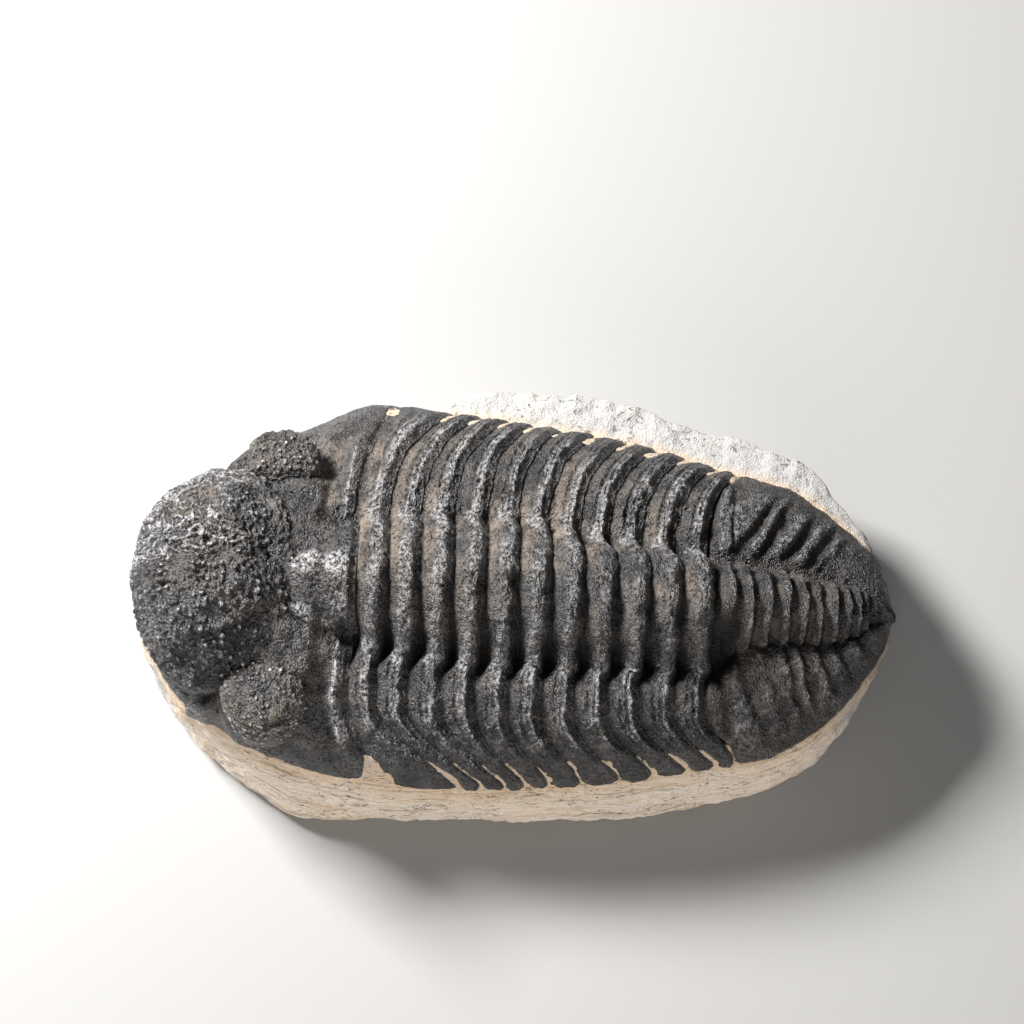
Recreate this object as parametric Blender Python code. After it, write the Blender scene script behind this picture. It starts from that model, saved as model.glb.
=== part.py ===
"""A phacopid trilobite on its limestone matrix, lying on the flat underside of the stone.

The head points to -X, the tail to +X, +Z is the trilobite's back. The origin is at the middle of the
stone's underside. Tables are in millimetres, in a frame along the body, and are moved and turned to metres as the meshes are made.
"""

import math

import bmesh
import bpy
import numpy as np
from mathutils import Vector, noise

MM = 0.001

# Driving dimensions, in millimetres
BED_Z = 18.0  # height of the stone's bed, on which the trilobite's edge lies
BODY_Y = 0.3  # sideways place of the trilobite's midline
SEGMENTS = 11  # free segments of the thorax
HEAD_END_X = -25.1  # back of the head at the midline
SEGMENT_PITCH = 5.29
TAIL_TIP = (63.4, 1.6)
EDGE_THICKNESS = 1.8  # of the shell where it meets the bed
SEAM = 0.4  # open seam between neighbouring plates
CORE_GAP = 1.3  # open space between a plate and the stone core that fills the shell
BED_GAP = 0.5  # open space between a plate's edge and the bed
TAIL_ROWS = 17  # rows of points along the tail shield, every other one on a rib
RIB_RELIEF = 1.3  # of the tail's first rib above its furrows
BED_ENDS = (-60.9, 62.9)  # first and last place along the body where the bed is level with its edge
MIDDLE = (0.7005, 3.6655)  # place of the whole's middle in the tables' frame
CENTRE = (0.0, 1.0)  # about which the stone's outlines are drawn

# Half widths of the body to each side of the midline, (place along the body, half width)
LEFT_EDGE = [(-61, 3), (-57, 14), (-50, 20), (-44, 25), (-34, 31), (-24, 35.2), (-15, 34.2), (-5, 33.3),
             (5, 32), (15, 30.6), (25, 28.5), (35, 25.7), (43, 24), (48, 22), (53, 18.2), (58, 13.6), (61.5, 9),
             (63, 4)]
RIGHT_EDGE = [(-61, 3), (-57, 13), (-50, 18.5), (-44, 23), (-34, 27.8), (-24, 29.6), (-15, 30.8), (-5, 30.8),
              (5, 30), (15, 29), (25, 27.2), (35, 25.2), (43, 23.4), (48, 20.8), (53, 17), (58, 11), (61.5, 5.5),
              (63, 2)]
AXIS_HALF_WIDTH = [(-61, 2), (-50, 9), (-36, 10), (-25, 10.4), (-15, 11.2), (-5, 12), (5, 12.2), (15, 11.6),
                   (25, 10.3), (35, 8.6), (45, 6.2), (55, 3.8), (60, 2), (63, 0.8)]
CREST_HEIGHT = [(-61, 2.4), (-56, 2.8), (-52, 12), (-48, 16), (-36, 21), (-25, 23.2), (-10, 24), (0, 24), (10, 23.5),
                (20, 22), (30, 19.5), (38, 16.5), (46, 13), (54, 9), (58, 6.8), (61.5, 4), (63, 2.4)]
FURROW_HEIGHT = [(-61, 2.2), (-56, 2.6), (-52, 8.5), (-48, 11), (-36, 13.8), (-25, 14.5), (-5, 15), (10, 14.5), (20, 13.5),
                 (30, 11.8), (38, 10), (46, 8), (54, 5.6), (58, 4.4), (61.5, 2.8), (63, 2)]
# How far back each seam has swung where it reaches the edge, head seam first
SWING = [5.1, 9.6, 9.2, 8.4, 7.4, 6.8, 7.4, 8, 8.3, 7.8, 7.6, 4.9]

# Width of the stone's ledge beyond the body's edge, left and right, (place along the body, width)
LEFT_LEDGE = [(-61, 0.9), (-22, 0.9), (-15, 1.6), (-8, 4), (0, 7.2), (9, 8.6), (20, 8.2), (30, 7.2), (40, 8.2),
              (46, 7.2), (52, 7.4), (58, 5.4), (61, 3.4), (63, 2.2)]
RIGHT_LEDGE = [(-61, 0.9), (-30, 1.2), (-10, 0.9), (20, 1), (40, 1.2), (55, 2), (63, 0.9)]
END_LEDGE = 0.9

# Plan outline of the stone's foot, (x, y)
FOOT = [(-59, -9), (-57, -16), (-51, -22), (-43, -28), (-36, -31), (-24, -32.4), (-8, -32.6), (5, -31.6),
        (20, -30.4), (35, -27), (46, -23.4), (54, -18.4), (59, -12), (61.6, -4), (61.6, 3), (60, 11),
        (56, 19), (47, 26.4), (36, 30.6), (22, 34), (6, 36.4), (-8, 35), (-22, 31), (-34, 27.6), (-44, 22),
        (-52, 15), (-57.5, 7), (-59.5, -1)]

PLATE_COLOUR = (0.035, 0.034, 0.036, 1.0)
STONE_COLOUR = (0.66, 0.6, 0.5, 1.0)


def through(table):
    """A smooth curve through the table's points, as a function of arrays, by cubic pieces."""
    xs, ys = (np.array(column, float) for column in zip(*table))
    slopes = np.gradient(ys, xs)

    def curve(x):
        x = np.clip(np.asarray(x, float), xs[0], xs[-1])
        i = np.clip(np.searchsorted(xs, x) - 1, 0, len(xs) - 2)
        step = xs[i + 1] - xs[i]
        t = (x - xs[i]) / step
        start = (1 + 2 * t) * (1 - t) ** 2 * ys[i] + t * (1 - t) ** 2 * step * slopes[i]
        end = t * t * (3 - 2 * t) * ys[i + 1] + t * t * (t - 1) * step * slopes[i + 1]
        return start + end

    return curve


left_edge, right_edge = through(LEFT_EDGE), through(RIGHT_EDGE)
left_ledge, right_ledge = through(LEFT_LEDGE), through(RIGHT_LEDGE)
axis_half, crest, furrow = through(AXIS_HALF_WIDTH), through(CREST_HEIGHT), through(FURROW_HEIGHT)


def arch(x, y, swell=0.5):
    """Height of the smooth back above the bed: an arched axis between two lobes that bend down to the edge.

    The axis rises from its furrows as steeply as swell says, a smaller power being steeper.
    """
    side = y - BODY_Y
    width = np.where(side > 0, left_edge(x), right_edge(x))
    half = axis_half(x)
    out = np.clip((np.abs(side) - half) / (width - half), 0, 1)
    lobe = furrow(x) * (1 - out**2.2) ** 0.9
    inside = np.clip(np.abs(side) / half, 0, 1)
    return lobe + (crest(x) - furrow(x)) * (1 - inside**2) ** swell


def core(x, y):
    """Height of the stone core above the bed, under the shell."""
    return np.maximum(0, 0.85 * arch(x, y, 1.0) - 2.4)


def ceiling(x, y):
    """Height above the bed of the open space between the core and the shell."""
    rise = core(x, y)
    return rise + BED_GAP + (CORE_GAP - BED_GAP) * np.clip(rise, 0, 1)


def seam_x(index, out):
    """Place along the body of a seam, which swings back towards the edge (out 0 at the axis, 1 at the edge)."""
    return HEAD_END_X + index * SEGMENT_PITCH + SWING[index] * out**2.4


def metres(points):
    """Points of the tables' frame, in millimetres, as points in metres about the origin."""
    return [Vector(p) * MM for p in np.asarray(points, float) - (*MIDDLE, 0.0)]


def add_object(name, points, faces, colour, roughness):
    """One named solid with its own material."""
    mesh = bpy.data.meshes.new(name)
    mesh.from_pydata(metres(points), [], faces)
    mesh.validate()
    mesh.shade_smooth()
    mesh.set_sharp_from_angle(angle=math.radians(40))
    shader = bpy.data.materials.new(name)
    shader.use_nodes = True
    surface = shader.node_tree.nodes["Principled BSDF"]
    surface.inputs["Base Color"].default_value = colour
    surface.inputs["Roughness"].default_value = roughness
    surface.inputs["Metallic"].default_value = 0.0
    mesh.materials.append(shader)
    solid = bpy.data.objects.new(name, mesh)
    bpy.context.scene.collection.objects.link(solid)
    return solid


def grid_faces(rows, columns, first=0):
    """Triangles of a grid of points stored row by row, the first point having the index given."""
    corners = first + np.arange(rows * columns).reshape(rows, columns)
    one = np.stack([corners[:-1, :-1], corners[1:, :-1], corners[1:, 1:]], -1)
    other = np.stack([corners[:-1, :-1], corners[1:, 1:], corners[:-1, 1:]], -1)
    return [*one.reshape(-1, 3).tolist(), *other.reshape(-1, 3).tolist()]


def border(rows, columns):
    """Indices once around a grid."""
    index = np.arange(rows * columns).reshape(rows, columns)
    return [*index[0, :-1], *index[:-1, -1], *index[-1, :0:-1], *index[:0:-1, 0]]


def wall(here, below):
    """Quads between two closed rows of points."""
    return [(a, b, d, c) for a, b, c, d in zip(here, np.roll(here, -1), below, np.roll(below, -1))]


def shell_faces(rows, columns):
    """Faces of a plate: an upper grid, a lower grid after it, and the walls around them."""
    under = rows * columns
    edge = np.array(border(rows, columns))
    lower = [face[::-1] for face in grid_faces(rows, columns, under)]
    return grid_faces(rows, columns) + lower + wall(edge, edge + under)


def plate(name, x, y, relief):
    """A closed plate over the core, from grids of its plan and of its relief above the smooth back."""
    base = arch(x, y)
    top = BED_Z + np.maximum(base + relief, base * 0.5 + EDGE_THICKNESS)
    bottom = np.minimum(BED_Z + ceiling(x, y), top - 1.0)
    upper = np.stack([x, y, top], -1).reshape(-1, 3)
    lower = np.stack([x, y, bottom], -1).reshape(-1, 3)
    solid = add_object(name, np.vstack([upper, lower]), shell_faces(*x.shape), PLATE_COLOUR, 0.55)
    face_outwards(solid)
    return solid


def face_outwards(solid):
    work = bmesh.new()
    work.from_mesh(solid.data)
    bmesh.ops.recalc_face_normals(work, faces=work.faces)
    work.to_mesh(solid.data)
    work.free()


def across(steps_axis, steps_lobe):
    """Sideways stations from the right edge to the left: (side, share of the axis, share of the lobe)."""
    lobe = np.sin(np.linspace(0, math.pi / 2, steps_lobe + 1))
    stations = [(-1, 1.0, out) for out in lobe[:0:-1]]
    stations += [(1, s, 0.0) for s in np.sin(np.linspace(-math.pi / 2, math.pi / 2, steps_axis + 1))]
    stations += [(1, 1.0, out) for out in lobe[1:]]
    return np.array(stations).T


def plan_y(x, side, share, out):
    """Sideways place of a station: on the axis by its share, beyond it by its share of the lobe."""
    half = axis_half(x)
    width = np.where(side > 0, left_edge(x), right_edge(x))
    return BODY_Y + side * (half * share + (width - half) * out)


def segment(index):
    """One free segment: a narrow band with a deep front groove, a rounded ring and lobes that swing back."""
    side, share, out = across(8, 6)
    along = np.array([0.0, 0.22, 0.45, 0.8, 1.0])[:, None]
    ring = np.array([-0.4, -0.3, 1.0, 1.2, 0.1])[:, None]
    band = np.array([-0.2, 0.3, 0.5, 1.0, 0.0])[:, None]
    front = seam_x(index, out) + SEAM / 2
    back = seam_x(index + 1, out) - SEAM / 2
    x = front + (back - front) * along
    y = plan_y(x, side, share, out)
    on_axis = np.clip(1 - 3 * out, 0, 1)
    return plate(f"thoracic_segment_{index + 1:02d}", x, y, ring * on_axis + band * (1 - on_axis))


def pygidium():
    """The tail shield: rows of ribs and furrows from the last seam to the tail tip."""
    side, share, out = across(6, 6)
    front = seam_x(SEGMENTS, out) + SEAM / 2
    reach = TAIL_TIP[0] - 0.6
    row = np.arange(TAIL_ROWS)[:, None]
    along = np.sin(row / (TAIL_ROWS - 1) * math.pi / 2)
    x = front + (reach - front) * along
    y = plan_y(x, side, share, out) + TAIL_TIP[1] * along**2 * (1 - 0.6 * out)
    y = np.minimum(y, BODY_Y + left_edge(x) * 0.995)
    ribs = np.where(row % 2, RIB_RELIEF, 0.0) * (1 - along) * (1 - out**2)
    return plate("pygidium", x, y, ribs)


def polar(outline, centre):
    """Distance of a closed outline from a centre as a smooth periodic function of angle."""
    points = np.array(outline, float) - centre
    angle = np.arctan2(points[:, 1], points[:, 0])
    order = np.argsort(angle)
    angle, reach = angle[order], np.hypot(*points[order].T)
    turn = 2 * math.pi
    return through(list(zip(np.concatenate([angle - turn, angle, angle + turn]), np.tile(reach, 3))))


def ring_faces(rings, count):
    """Quads of rings stacked from a first pole to a last pole, each pole one point."""
    faces = []
    for c in range(count):
        d = (c + 1) % count
        faces.append((0, 1 + d, 1 + c))
        for r in range(rings - 1):
            a = 1 + r * count
            faces.append((a + c, a + d, a + count + d, a + count + c))
        last = 1 + (rings - 1) * count
        faces.append((last + c, last + d, last + count))
    return faces


def head_outline():
    """Plan outline of the head: its free edge, and the first seam with its gap."""
    stations = np.linspace(-60.4, -21.5, 15)
    left = [(x, BODY_Y + left_edge(x)) for x in stations]
    right = [(x, BODY_Y - right_edge(x)) for x in stations[::-1]]
    seam = []
    for side, share, out in across(6, 5).T:
        x = seam_x(0, out) - SEAM
        seam.append((x, float(plan_y(x, side, share, out))))
    return left + seam[::-1][1:-1] + right


def head_shield():
    """The cheeks and the back of the head as one dome with a flat underside."""
    centre = np.array([-40.0, 1.0])
    reach = polar(head_outline(), centre)
    under = BED_Z + BED_GAP + 0.1
    count, rings = 56, [0.25, 0.5, 0.7, 0.87, 1.0]
    turn = np.linspace(-math.pi, math.pi, count, endpoint=False)
    points = [(*centre, BED_Z + arch(*centre))]
    for share in rings:
        x = centre[0] + reach(turn) * share * np.cos(turn)
        y = centre[1] + reach(turn) * share * np.sin(turn)
        z = BED_Z + np.maximum(arch(x, y) + 0.6, EDGE_THICKNESS)
        points += list(zip(x, y, z))
    points += [(p[0], p[1], under) for p in points[-count:]]
    points.append((*centre, under))
    solid = add_object("cephalon", points, ring_faces(len(rings) + 1, count), PLATE_COLOUR, 0.55)
    face_outwards(solid)
    return solid


def ball(name, centre, radii, columns=16, rows=10):
    """A helper ellipsoid, joined to the head by a Boolean."""
    bpy.ops.mesh.primitive_uv_sphere_add(segments=columns, ring_count=rows, radius=1.0)
    helper = bpy.context.object
    helper.name = name
    helper.data.transform(np.diag([*(r * MM for r in radii), 1.0]))
    helper.data.shade_smooth()
    helper.location = metres([centre])[0]
    helper.hide_render = True
    helper.display_type = "WIRE"
    return helper


def bed_grid(height):
    """The bed under the trilobite as a grid along and across it, raised by a height function of x and y."""
    side, share, out = across(6, 5)
    x = np.linspace(*BED_ENDS, 27)[:, None] + 0 * side
    y = plan_y(x, side, share, out)
    return np.stack([x, y, BED_Z + height(x, y)], -1)


def core_cutter():
    """A helper that fills the shell up to the core and its gap, for the underside of the head."""
    top = bed_grid(ceiling)
    low = top * (1.0, 1.0, 0.0) + (0.0, 0.0, BED_Z - 10.0)
    points = np.vstack([top.reshape(-1, 3), low.reshape(-1, 3)])
    helper = add_object("core_cutter", points, shell_faces(*top.shape[:2]), STONE_COLOUR, 0.9)
    face_outwards(helper)
    helper.hide_render = True
    helper.display_type = "WIRE"
    return helper


def boolean(solid, helper, operation):
    step = solid.modifiers.new(f"{operation.lower()} {helper.name}", "BOOLEAN")
    step.operation = operation
    step.solver = "EXACT"
    step.object = helper


def cephalon():
    """The head: shield, swollen glabella that overhangs the front, occipital ring and two tall eyes."""
    solid = head_shield()
    boolean(solid, ball("glabella", (-48.4, 0.2, 29.6), (14.0, 19.2, 12.4), 24, 14), "UNION")
    boolean(solid, ball("occipital_ring", (-31.4, 0.3, 31.0), (6.0, 10.6, 10.4)), "UNION")
    boolean(solid, ball("left_eye", (-39.6, 21.2, 30.0), (7.0, 4.4, 5.6)), "UNION")
    boolean(solid, ball("right_eye", (-40.4, -19.4, 29.6), (7.0, 4.4, 5.6)), "UNION")
    boolean(solid, core_cutter(), "DIFFERENCE")
    return solid


def stone_rim(bed):
    """The bed's points moved out by the ledge, as its rim."""
    x, y = bed[..., 0], bed[..., 1]
    side = y - BODY_Y
    width = np.where(side > 0, left_edge(x), right_edge(x))
    ledge = np.where(side > 0, left_ledge(x), right_ledge(x))
    ends = np.zeros_like(x)
    ends[0], ends[-1] = -END_LEDGE, END_LEDGE
    return np.stack([x + ends, BODY_Y + side * (1 + ledge / width)], -1).reshape(-1, 2)


def matrix_stone():
    """The limestone: a rough block with a flat underside, a ledge and the core that fills the shell."""
    bed = bed_grid(core)
    rows, columns = bed.shape[:2]
    edge = border(rows, columns)
    points = bed.reshape(-1, 3)
    rim = stone_rim(bed)[edge]
    turn = np.arctan2(rim[:, 1] - CENTRE[1], rim[:, 0] - CENTRE[0])
    rim = np.hypot(rim[:, 0] - CENTRE[0], rim[:, 1] - CENTRE[1])
    foot = polar(FOOT, CENTRE)(turn)
    # Each layer down the stone's side: reach, height and roughness
    layers = [(rim - 0.3, BED_Z - 0.2, 0), (rim, BED_Z - 1.6, 0), (foot + (rim - foot) * 0.85, 14.0, 1.2),
              (foot + (rim - foot) * 0.45, 9.0, 1.6), (foot, 3.6, 1.6), (foot - 1.4, 0.9, 1.2),
              (foot - 4.0, 0.0, 0)]
    faces = grid_faces(rows, columns)
    for reach, z, rough in layers:
        seeds = [Vector((r * math.cos(t) / 9, r * math.sin(t) / 9, z / 7)) for r, t in zip(reach, turn)]
        reach = reach + rough * np.array([noise.noise(seed) for seed in seeds])
        plan = [CENTRE[0] + reach * np.cos(turn), CENTRE[1] + reach * np.sin(turn), np.full_like(turn, z)]
        below = np.arange(len(edge)) + len(points)
        points = np.vstack([points, np.stack(plan, -1)])
        faces += wall(edge, below)
        edge = below
    points = np.vstack([points, (*CENTRE, 0.0)])
    faces += [(a, b, len(points) - 1) for a, b in zip(edge, np.roll(edge, -1))]
    solid = add_object("matrix_stone", points, faces, STONE_COLOUR, 0.9)
    face_outwards(solid)
    return solid


def main():
    for old in list(bpy.data.objects):
        bpy.data.objects.remove(old)
    matrix_stone()
    cephalon()
    for index in range(SEGMENTS):
        segment(index)
    pygidium()


main()
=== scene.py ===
"""A phacopid trilobite fossil on its limestone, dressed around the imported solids.

Shapes are worked out in millimetres in a frame along the body: x from head to tail, y to the left, z up.
The midline and the stone's underside set its zero; meshes are moved to the model's frame as they are made.
"""

from __future__ import annotations

import logging
import math
from dataclasses import dataclass, field
from enum import Enum
from typing import Any

import bpy
import numpy as np
from mathutils import Matrix, Vector

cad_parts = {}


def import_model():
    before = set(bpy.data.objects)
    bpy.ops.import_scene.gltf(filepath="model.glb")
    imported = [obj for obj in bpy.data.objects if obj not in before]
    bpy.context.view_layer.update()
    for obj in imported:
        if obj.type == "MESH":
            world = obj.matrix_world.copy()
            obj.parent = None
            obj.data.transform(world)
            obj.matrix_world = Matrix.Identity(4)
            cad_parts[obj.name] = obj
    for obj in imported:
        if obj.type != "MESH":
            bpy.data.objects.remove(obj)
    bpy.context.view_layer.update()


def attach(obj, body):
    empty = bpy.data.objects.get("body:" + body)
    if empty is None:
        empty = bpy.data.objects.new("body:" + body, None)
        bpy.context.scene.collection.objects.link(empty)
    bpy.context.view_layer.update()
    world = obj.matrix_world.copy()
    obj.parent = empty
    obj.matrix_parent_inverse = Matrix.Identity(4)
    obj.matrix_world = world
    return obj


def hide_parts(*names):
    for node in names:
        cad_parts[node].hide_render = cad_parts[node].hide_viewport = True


Array = np.ndarray
log = logging.getLogger("trilobite")

MM = 0.001
MIDDLE = np.array([0.7005, 3.6655, 0.0])  # the model's origin in the body frame
BED = 18.0  # height of the stone's bed, on which the shell's edge lies
BODY_Y = 0.3  # sideways place of the midline
HEAD_END = -25.1  # back of the head at the midline
PITCH = 5.29  # length of one thoracic segment
SEGMENTS = 11
AXIS_SHARE = 0.36  # share of the half width's stations that lies on the axis
JITTER = 0.9  # share of its cell over which a scattered point may lie
LUMPS = 90  # seeds of the noise that the plates share
COARSE = 94
CRINKLE = 97


# Curves, easing and noise


@dataclass(frozen=True)
class Curve:
    """A smooth curve through points, read as a function of one number."""

    points: tuple[tuple[float, float], ...]

    def __call__(self, at: Array | float) -> Array:
        """Cubic pieces through the points, each sloped like its two neighbours and kept from overshooting.

        Args:
            at: places along the curve's first axis.

        Returns:
            The curve's height at each place, held level beyond its ends.
        """
        xs, ys = np.array(self.points, float).T
        secants = np.diff(ys) / np.diff(xs)
        before, after = np.append(secants[0], secants), np.append(secants, secants[-1])
        limit = 3 * np.minimum(np.abs(before), np.abs(after)) * (before * after > 0)
        slopes = np.clip(np.gradient(ys, xs), -limit, limit)
        x = np.clip(np.asarray(at, float), xs[0], xs[-1])
        i = np.clip(np.searchsorted(xs, x) - 1, 0, len(xs) - 2)
        step = xs[i + 1] - xs[i]
        t = (x - xs[i]) / step
        start = (1 + 2 * t) * (1 - t) ** 2 * ys[i] + t * (1 - t) ** 2 * step * slopes[i]
        end = t * t * (3 - 2 * t) * ys[i + 1] + t * t * (t - 1) * step * slopes[i + 1]
        return start + end


def rise(x: Array, start: float | Array, end: float | Array) -> Array:
    """Ease from 0 at start to 1 at end: 3t squared minus 2t cubed.

    Args:
        x: values to ease.
        start: value where the rise begins.
        end: value where it is complete.

    Returns:
        The eased share, from 0 to 1.
    """
    t = np.clip((x - start) / (end - start), 0, 1)
    return t * t * (3 - 2 * t)


def bell(x: Array, middle: float | Array, width: float | Array) -> Array:
    """A bell of height 1: e to the minus square of the distance from the middle over the width.

    Args:
        x: values.
        middle: value at the bell's top.
        width: distance at which the bell has fallen to about a third.

    Returns:
        The bell's height at each value.
    """
    return np.exp(-(((x - middle) / width) ** 2))


def tent(x: Array, middle: float | Array, width: float | Array) -> Array:
    """A sharp ridge of height 1: one minus the distance from the middle over the width, eased at its foot.

    Args:
        x: values.
        middle: value at the ridge's crest.
        width: distance from crest to foot.

    Returns:
        The ridge's height at each value.
    """
    return np.clip(1 - np.abs(x - middle) / width, 0, 1) ** 1.3


def cell_random(cells: Array, seed: int) -> Array:
    """One number from 0 to 1 for each whole-numbered cell, by multiplying and folding its three indices.

    Args:
        cells: whole numbers, the last axis holding three.
        seed: which of many such fields.

    Returns:
        The numbers, without the last axis.
    """
    c = cells.astype(np.int64).astype(np.uint64)
    factors = np.array([0x9E3779B1, 0x85EBCA77, 0xC2B2AE3D], np.uint64)
    n = np.bitwise_xor.reduce(c * factors, axis=-1)
    n = (n + np.uint64(seed * 0x27D4EB2F)) & np.uint64(0xFFFFFFFF)
    for shift, factor in ((15, 0x2C1B3C6D), (12, 0x297A2D39), (15, 1)):
        n = ((n ^ (n >> np.uint64(shift))) * np.uint64(factor)) & np.uint64(0xFFFFFFFF)
    return n / 4294967295.0


def value_noise(points: Array, size: float, seed: int) -> Array:
    """Smooth noise from -1 to 1: random corner values blended by eased shares within each cell.

    Args:
        points: places in millimetres, the last axis holding three.
        size: side of a cell in millimetres.
        seed: which noise.

    Returns:
        The noise at each place.
    """
    scaled = points / size + 37.5
    low = np.floor(scaled)
    share = scaled - low
    share = share * share * (3 - 2 * share)
    total = np.zeros(points.shape[:-1])
    for corner in np.ndindex(2, 2, 2):
        weight = np.prod(np.where(np.array(corner) == 1, share, 1 - share), axis=-1)
        total += weight * cell_random(low + corner, seed)
    return total * 2 - 1


def layered_noise(points: Array, size: float, seed: int, layers: int = 4) -> Array:
    """Noise in layers, each half the size and strength of the one before.

    Args:
        points: places in millimetres.
        size: cell side of the first layer.
        seed: which noise.
        layers: how many layers.

    Returns:
        The sum, from about -1 to 1.
    """
    total = sum(value_noise(points, size / 2**k, seed + k) / 2**k for k in range(layers))
    return total / (2 - 2 ** (1 - layers))


def nearest_seed(points: Array, size: float, seed: int) -> tuple[Array, Array]:
    """Distance to the nearest of the points scattered one to a cell.

    Args:
        points: places in millimetres.
        size: side of a cell in millimetres.
        seed: which scatter.

    Returns:
        The distance in millimetres, and a random number that belongs to the nearest scattered point.
    """
    scaled = points / size + 53.5
    low = np.floor(scaled)
    best = np.full(points.shape[:-1], np.inf)
    label = np.zeros(points.shape[:-1])
    for offset in np.ndindex(3, 3, 3):
        cell = low + offset - 1
        spot = np.stack([cell_random(cell, seed + axis) for axis in range(3)], -1)
        gap = np.linalg.norm(cell + 0.5 + (spot - 0.5) * JITTER - scaled, axis=-1)
        nearer = gap < best
        best = np.where(nearer, gap, best)
        label = np.where(nearer, spot[..., 0], label)
    return best * size, label


def tubercles(points: Array, size: float, seed: int, share: float = 0.5) -> Array:
    """Rounded bumps scattered over a surface: one minus the squared distance over the bump's radius.

    Args:
        points: places in millimetres.
        size: spacing of the bumps in millimetres.
        seed: which scatter.
        share: a bump's mean radius as a share of the spacing.

    Returns:
        Height of the bumps, from 0 to about 1.
    """
    gap, label = nearest_seed(points, size, seed)
    radius = size * share * (0.75 + 0.5 * label)
    return np.clip(1 - (gap / radius) ** 2, 0, 1) * (0.55 + 0.45 * label)


@dataclass(frozen=True)
class Stroke:
    """A ridge or a groove laid along a line in plan, fading at its ends."""

    line: tuple[tuple[float, float], ...]
    width: float  # distance from its middle at which it has fallen to a third
    height: float  # above the surface, or below it where negative

    def __call__(self, x: Array, y: Array) -> Array:
        """Height of the stroke: a bell of the distance to the nearest piece of its line.

        Args:
            x: places along the body.
            y: places across it.

        Returns:
            Heights in millimetres.
        """
        gap = np.full(np.shape(x), np.inf)
        for (ax, ay), (bx, by) in zip(self.line[:-1], self.line[1:]):
            dx, dy = bx - ax, by - ay
            share = np.clip(((x - ax) * dx + (y - ay) * dy) / (dx * dx + dy * dy), 0, 1)
            gap = np.minimum(gap, np.hypot(x - ax - share * dx, y - ay - share * dy))
        return self.height * bell(gap, 0, self.width)


# Grids and meshes


def normals_of(grid: Array) -> Array:
    """Unit normals of a grid of points: the cross product of its steps along rows and along columns.

    Args:
        grid: points, rows by columns by three.

    Returns:
        The normals, in the same shape.
    """
    normal = np.cross(np.gradient(grid, axis=0), np.gradient(grid, axis=1))
    return normal / np.maximum(np.linalg.norm(normal, axis=-1, keepdims=True), 1e-9)


def smoothed(grid: Array, passes: int, wrap: bool = False) -> Array:
    """A grid averaged along its rows' axis, each pass a quarter, a half and a quarter.

    Args:
        grid: values, the first axis being averaged along.
        passes: number of passes.
        wrap: whether the first and last rows are neighbours.

    Returns:
        The averaged values.
    """
    for _ in range(passes):
        before, after = np.roll(grid, 1, 0), np.roll(grid, -1, 0)
        if not wrap:
            before[0], after[-1] = grid[0], grid[-1]
        grid = 0.25 * before + 0.5 * grid + 0.25 * after
    return grid


def smoothed_across(grid: Array, passes: int) -> Array:
    """A grid averaged along its columns' axis, as smoothed does along its rows'."""
    return smoothed(grid.swapaxes(0, 1), passes).swapaxes(0, 1)


def facing_up(normal: Array) -> Array:
    """Normals turned over together if they point down on the whole."""
    return normal * np.where(normal[..., 2:].mean() < 0, -1, 1)


def ring_normals(grid: Array, middle: tuple[float, float, float]) -> Array:
    """Outward normals of a grid whose columns close into a ring: its first and last column are neighbours.

    Args:
        grid: points, rows by places around by three.
        middle: a point inside the shape.

    Returns:
        The normals, turned over together if they point towards the middle on the whole.
    """
    normal = normals_of(np.concatenate([grid[:, -1:], grid, grid[:, :1]], 1))[:, 1:-1]
    return normal * np.where((normal * (grid - middle)).sum() < 0, -1, 1)


def closed_skin(name: str, grid: Array, fields: dict[str, Array]) -> bpy.types.Object:
    """A closed mesh from a grid whose rows are rings, the first and the last ring shrunk to one point each.

    Args:
        name: the piece's name.
        grid: points in millimetres in the body frame, rings by places around by three.
        fields: values to keep as attributes, rings by places around.

    Returns:
        The new object, at the origin, its faces pointing outwards.
    """
    rings, around = grid.shape[:2]
    inner = grid[1:-1].reshape(-1, 3)
    points = np.vstack([grid[0].mean(0), inner, grid[-1].mean(0)])
    index = 1 + np.arange((rings - 2) * around).reshape(rings - 2, around)
    after = np.roll(index, -1, 1)
    quads = np.stack([index[:-1], after[:-1], after[1:], index[1:]], -1).reshape(-1, 4)
    first = np.stack([np.zeros(around, int), after[0], index[0]], -1)
    last = np.stack([np.full(around, len(points) - 1), index[-1], after[-1]], -1)
    fans = np.vstack([first, last])
    corner = points[quads[:, 0]] - points.mean(0)
    turned = np.cross(points[quads[:, 1]] - points[quads[:, 0]], points[quads[:, 3]] - points[quads[:, 0]])
    if np.einsum("ij,ij->", corner, turned) < 0:
        quads, fans = quads[:, ::-1], fans[:, ::-1]
    mesh = bpy.data.meshes.new(name)
    mesh.vertices.add(len(points))
    mesh.vertices.foreach_set("co", ((points - MIDDLE) * MM).ravel())
    loops = np.concatenate([quads.ravel(), fans.ravel()])
    sizes = np.concatenate([np.full(len(quads), 4), np.full(len(fans), 3)])
    mesh.loops.add(len(loops))
    mesh.loops.foreach_set("vertex_index", loops)
    mesh.polygons.add(len(sizes))
    mesh.polygons.foreach_set("loop_start", np.concatenate([[0], np.cumsum(sizes)[:-1]]))
    mesh.update(calc_edges=True)
    mesh.shade_smooth()
    for label, values in fields.items():
        kept = np.concatenate([[values[0].mean()], values[1:-1].ravel(), [values[-1].mean()]])
        mesh.attributes.new(label, "FLOAT", "POINT").data.foreach_set("value", kept.astype(np.float32))
    piece = bpy.data.objects.new(name, mesh)
    bpy.context.scene.collection.objects.link(piece)
    return piece


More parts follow.
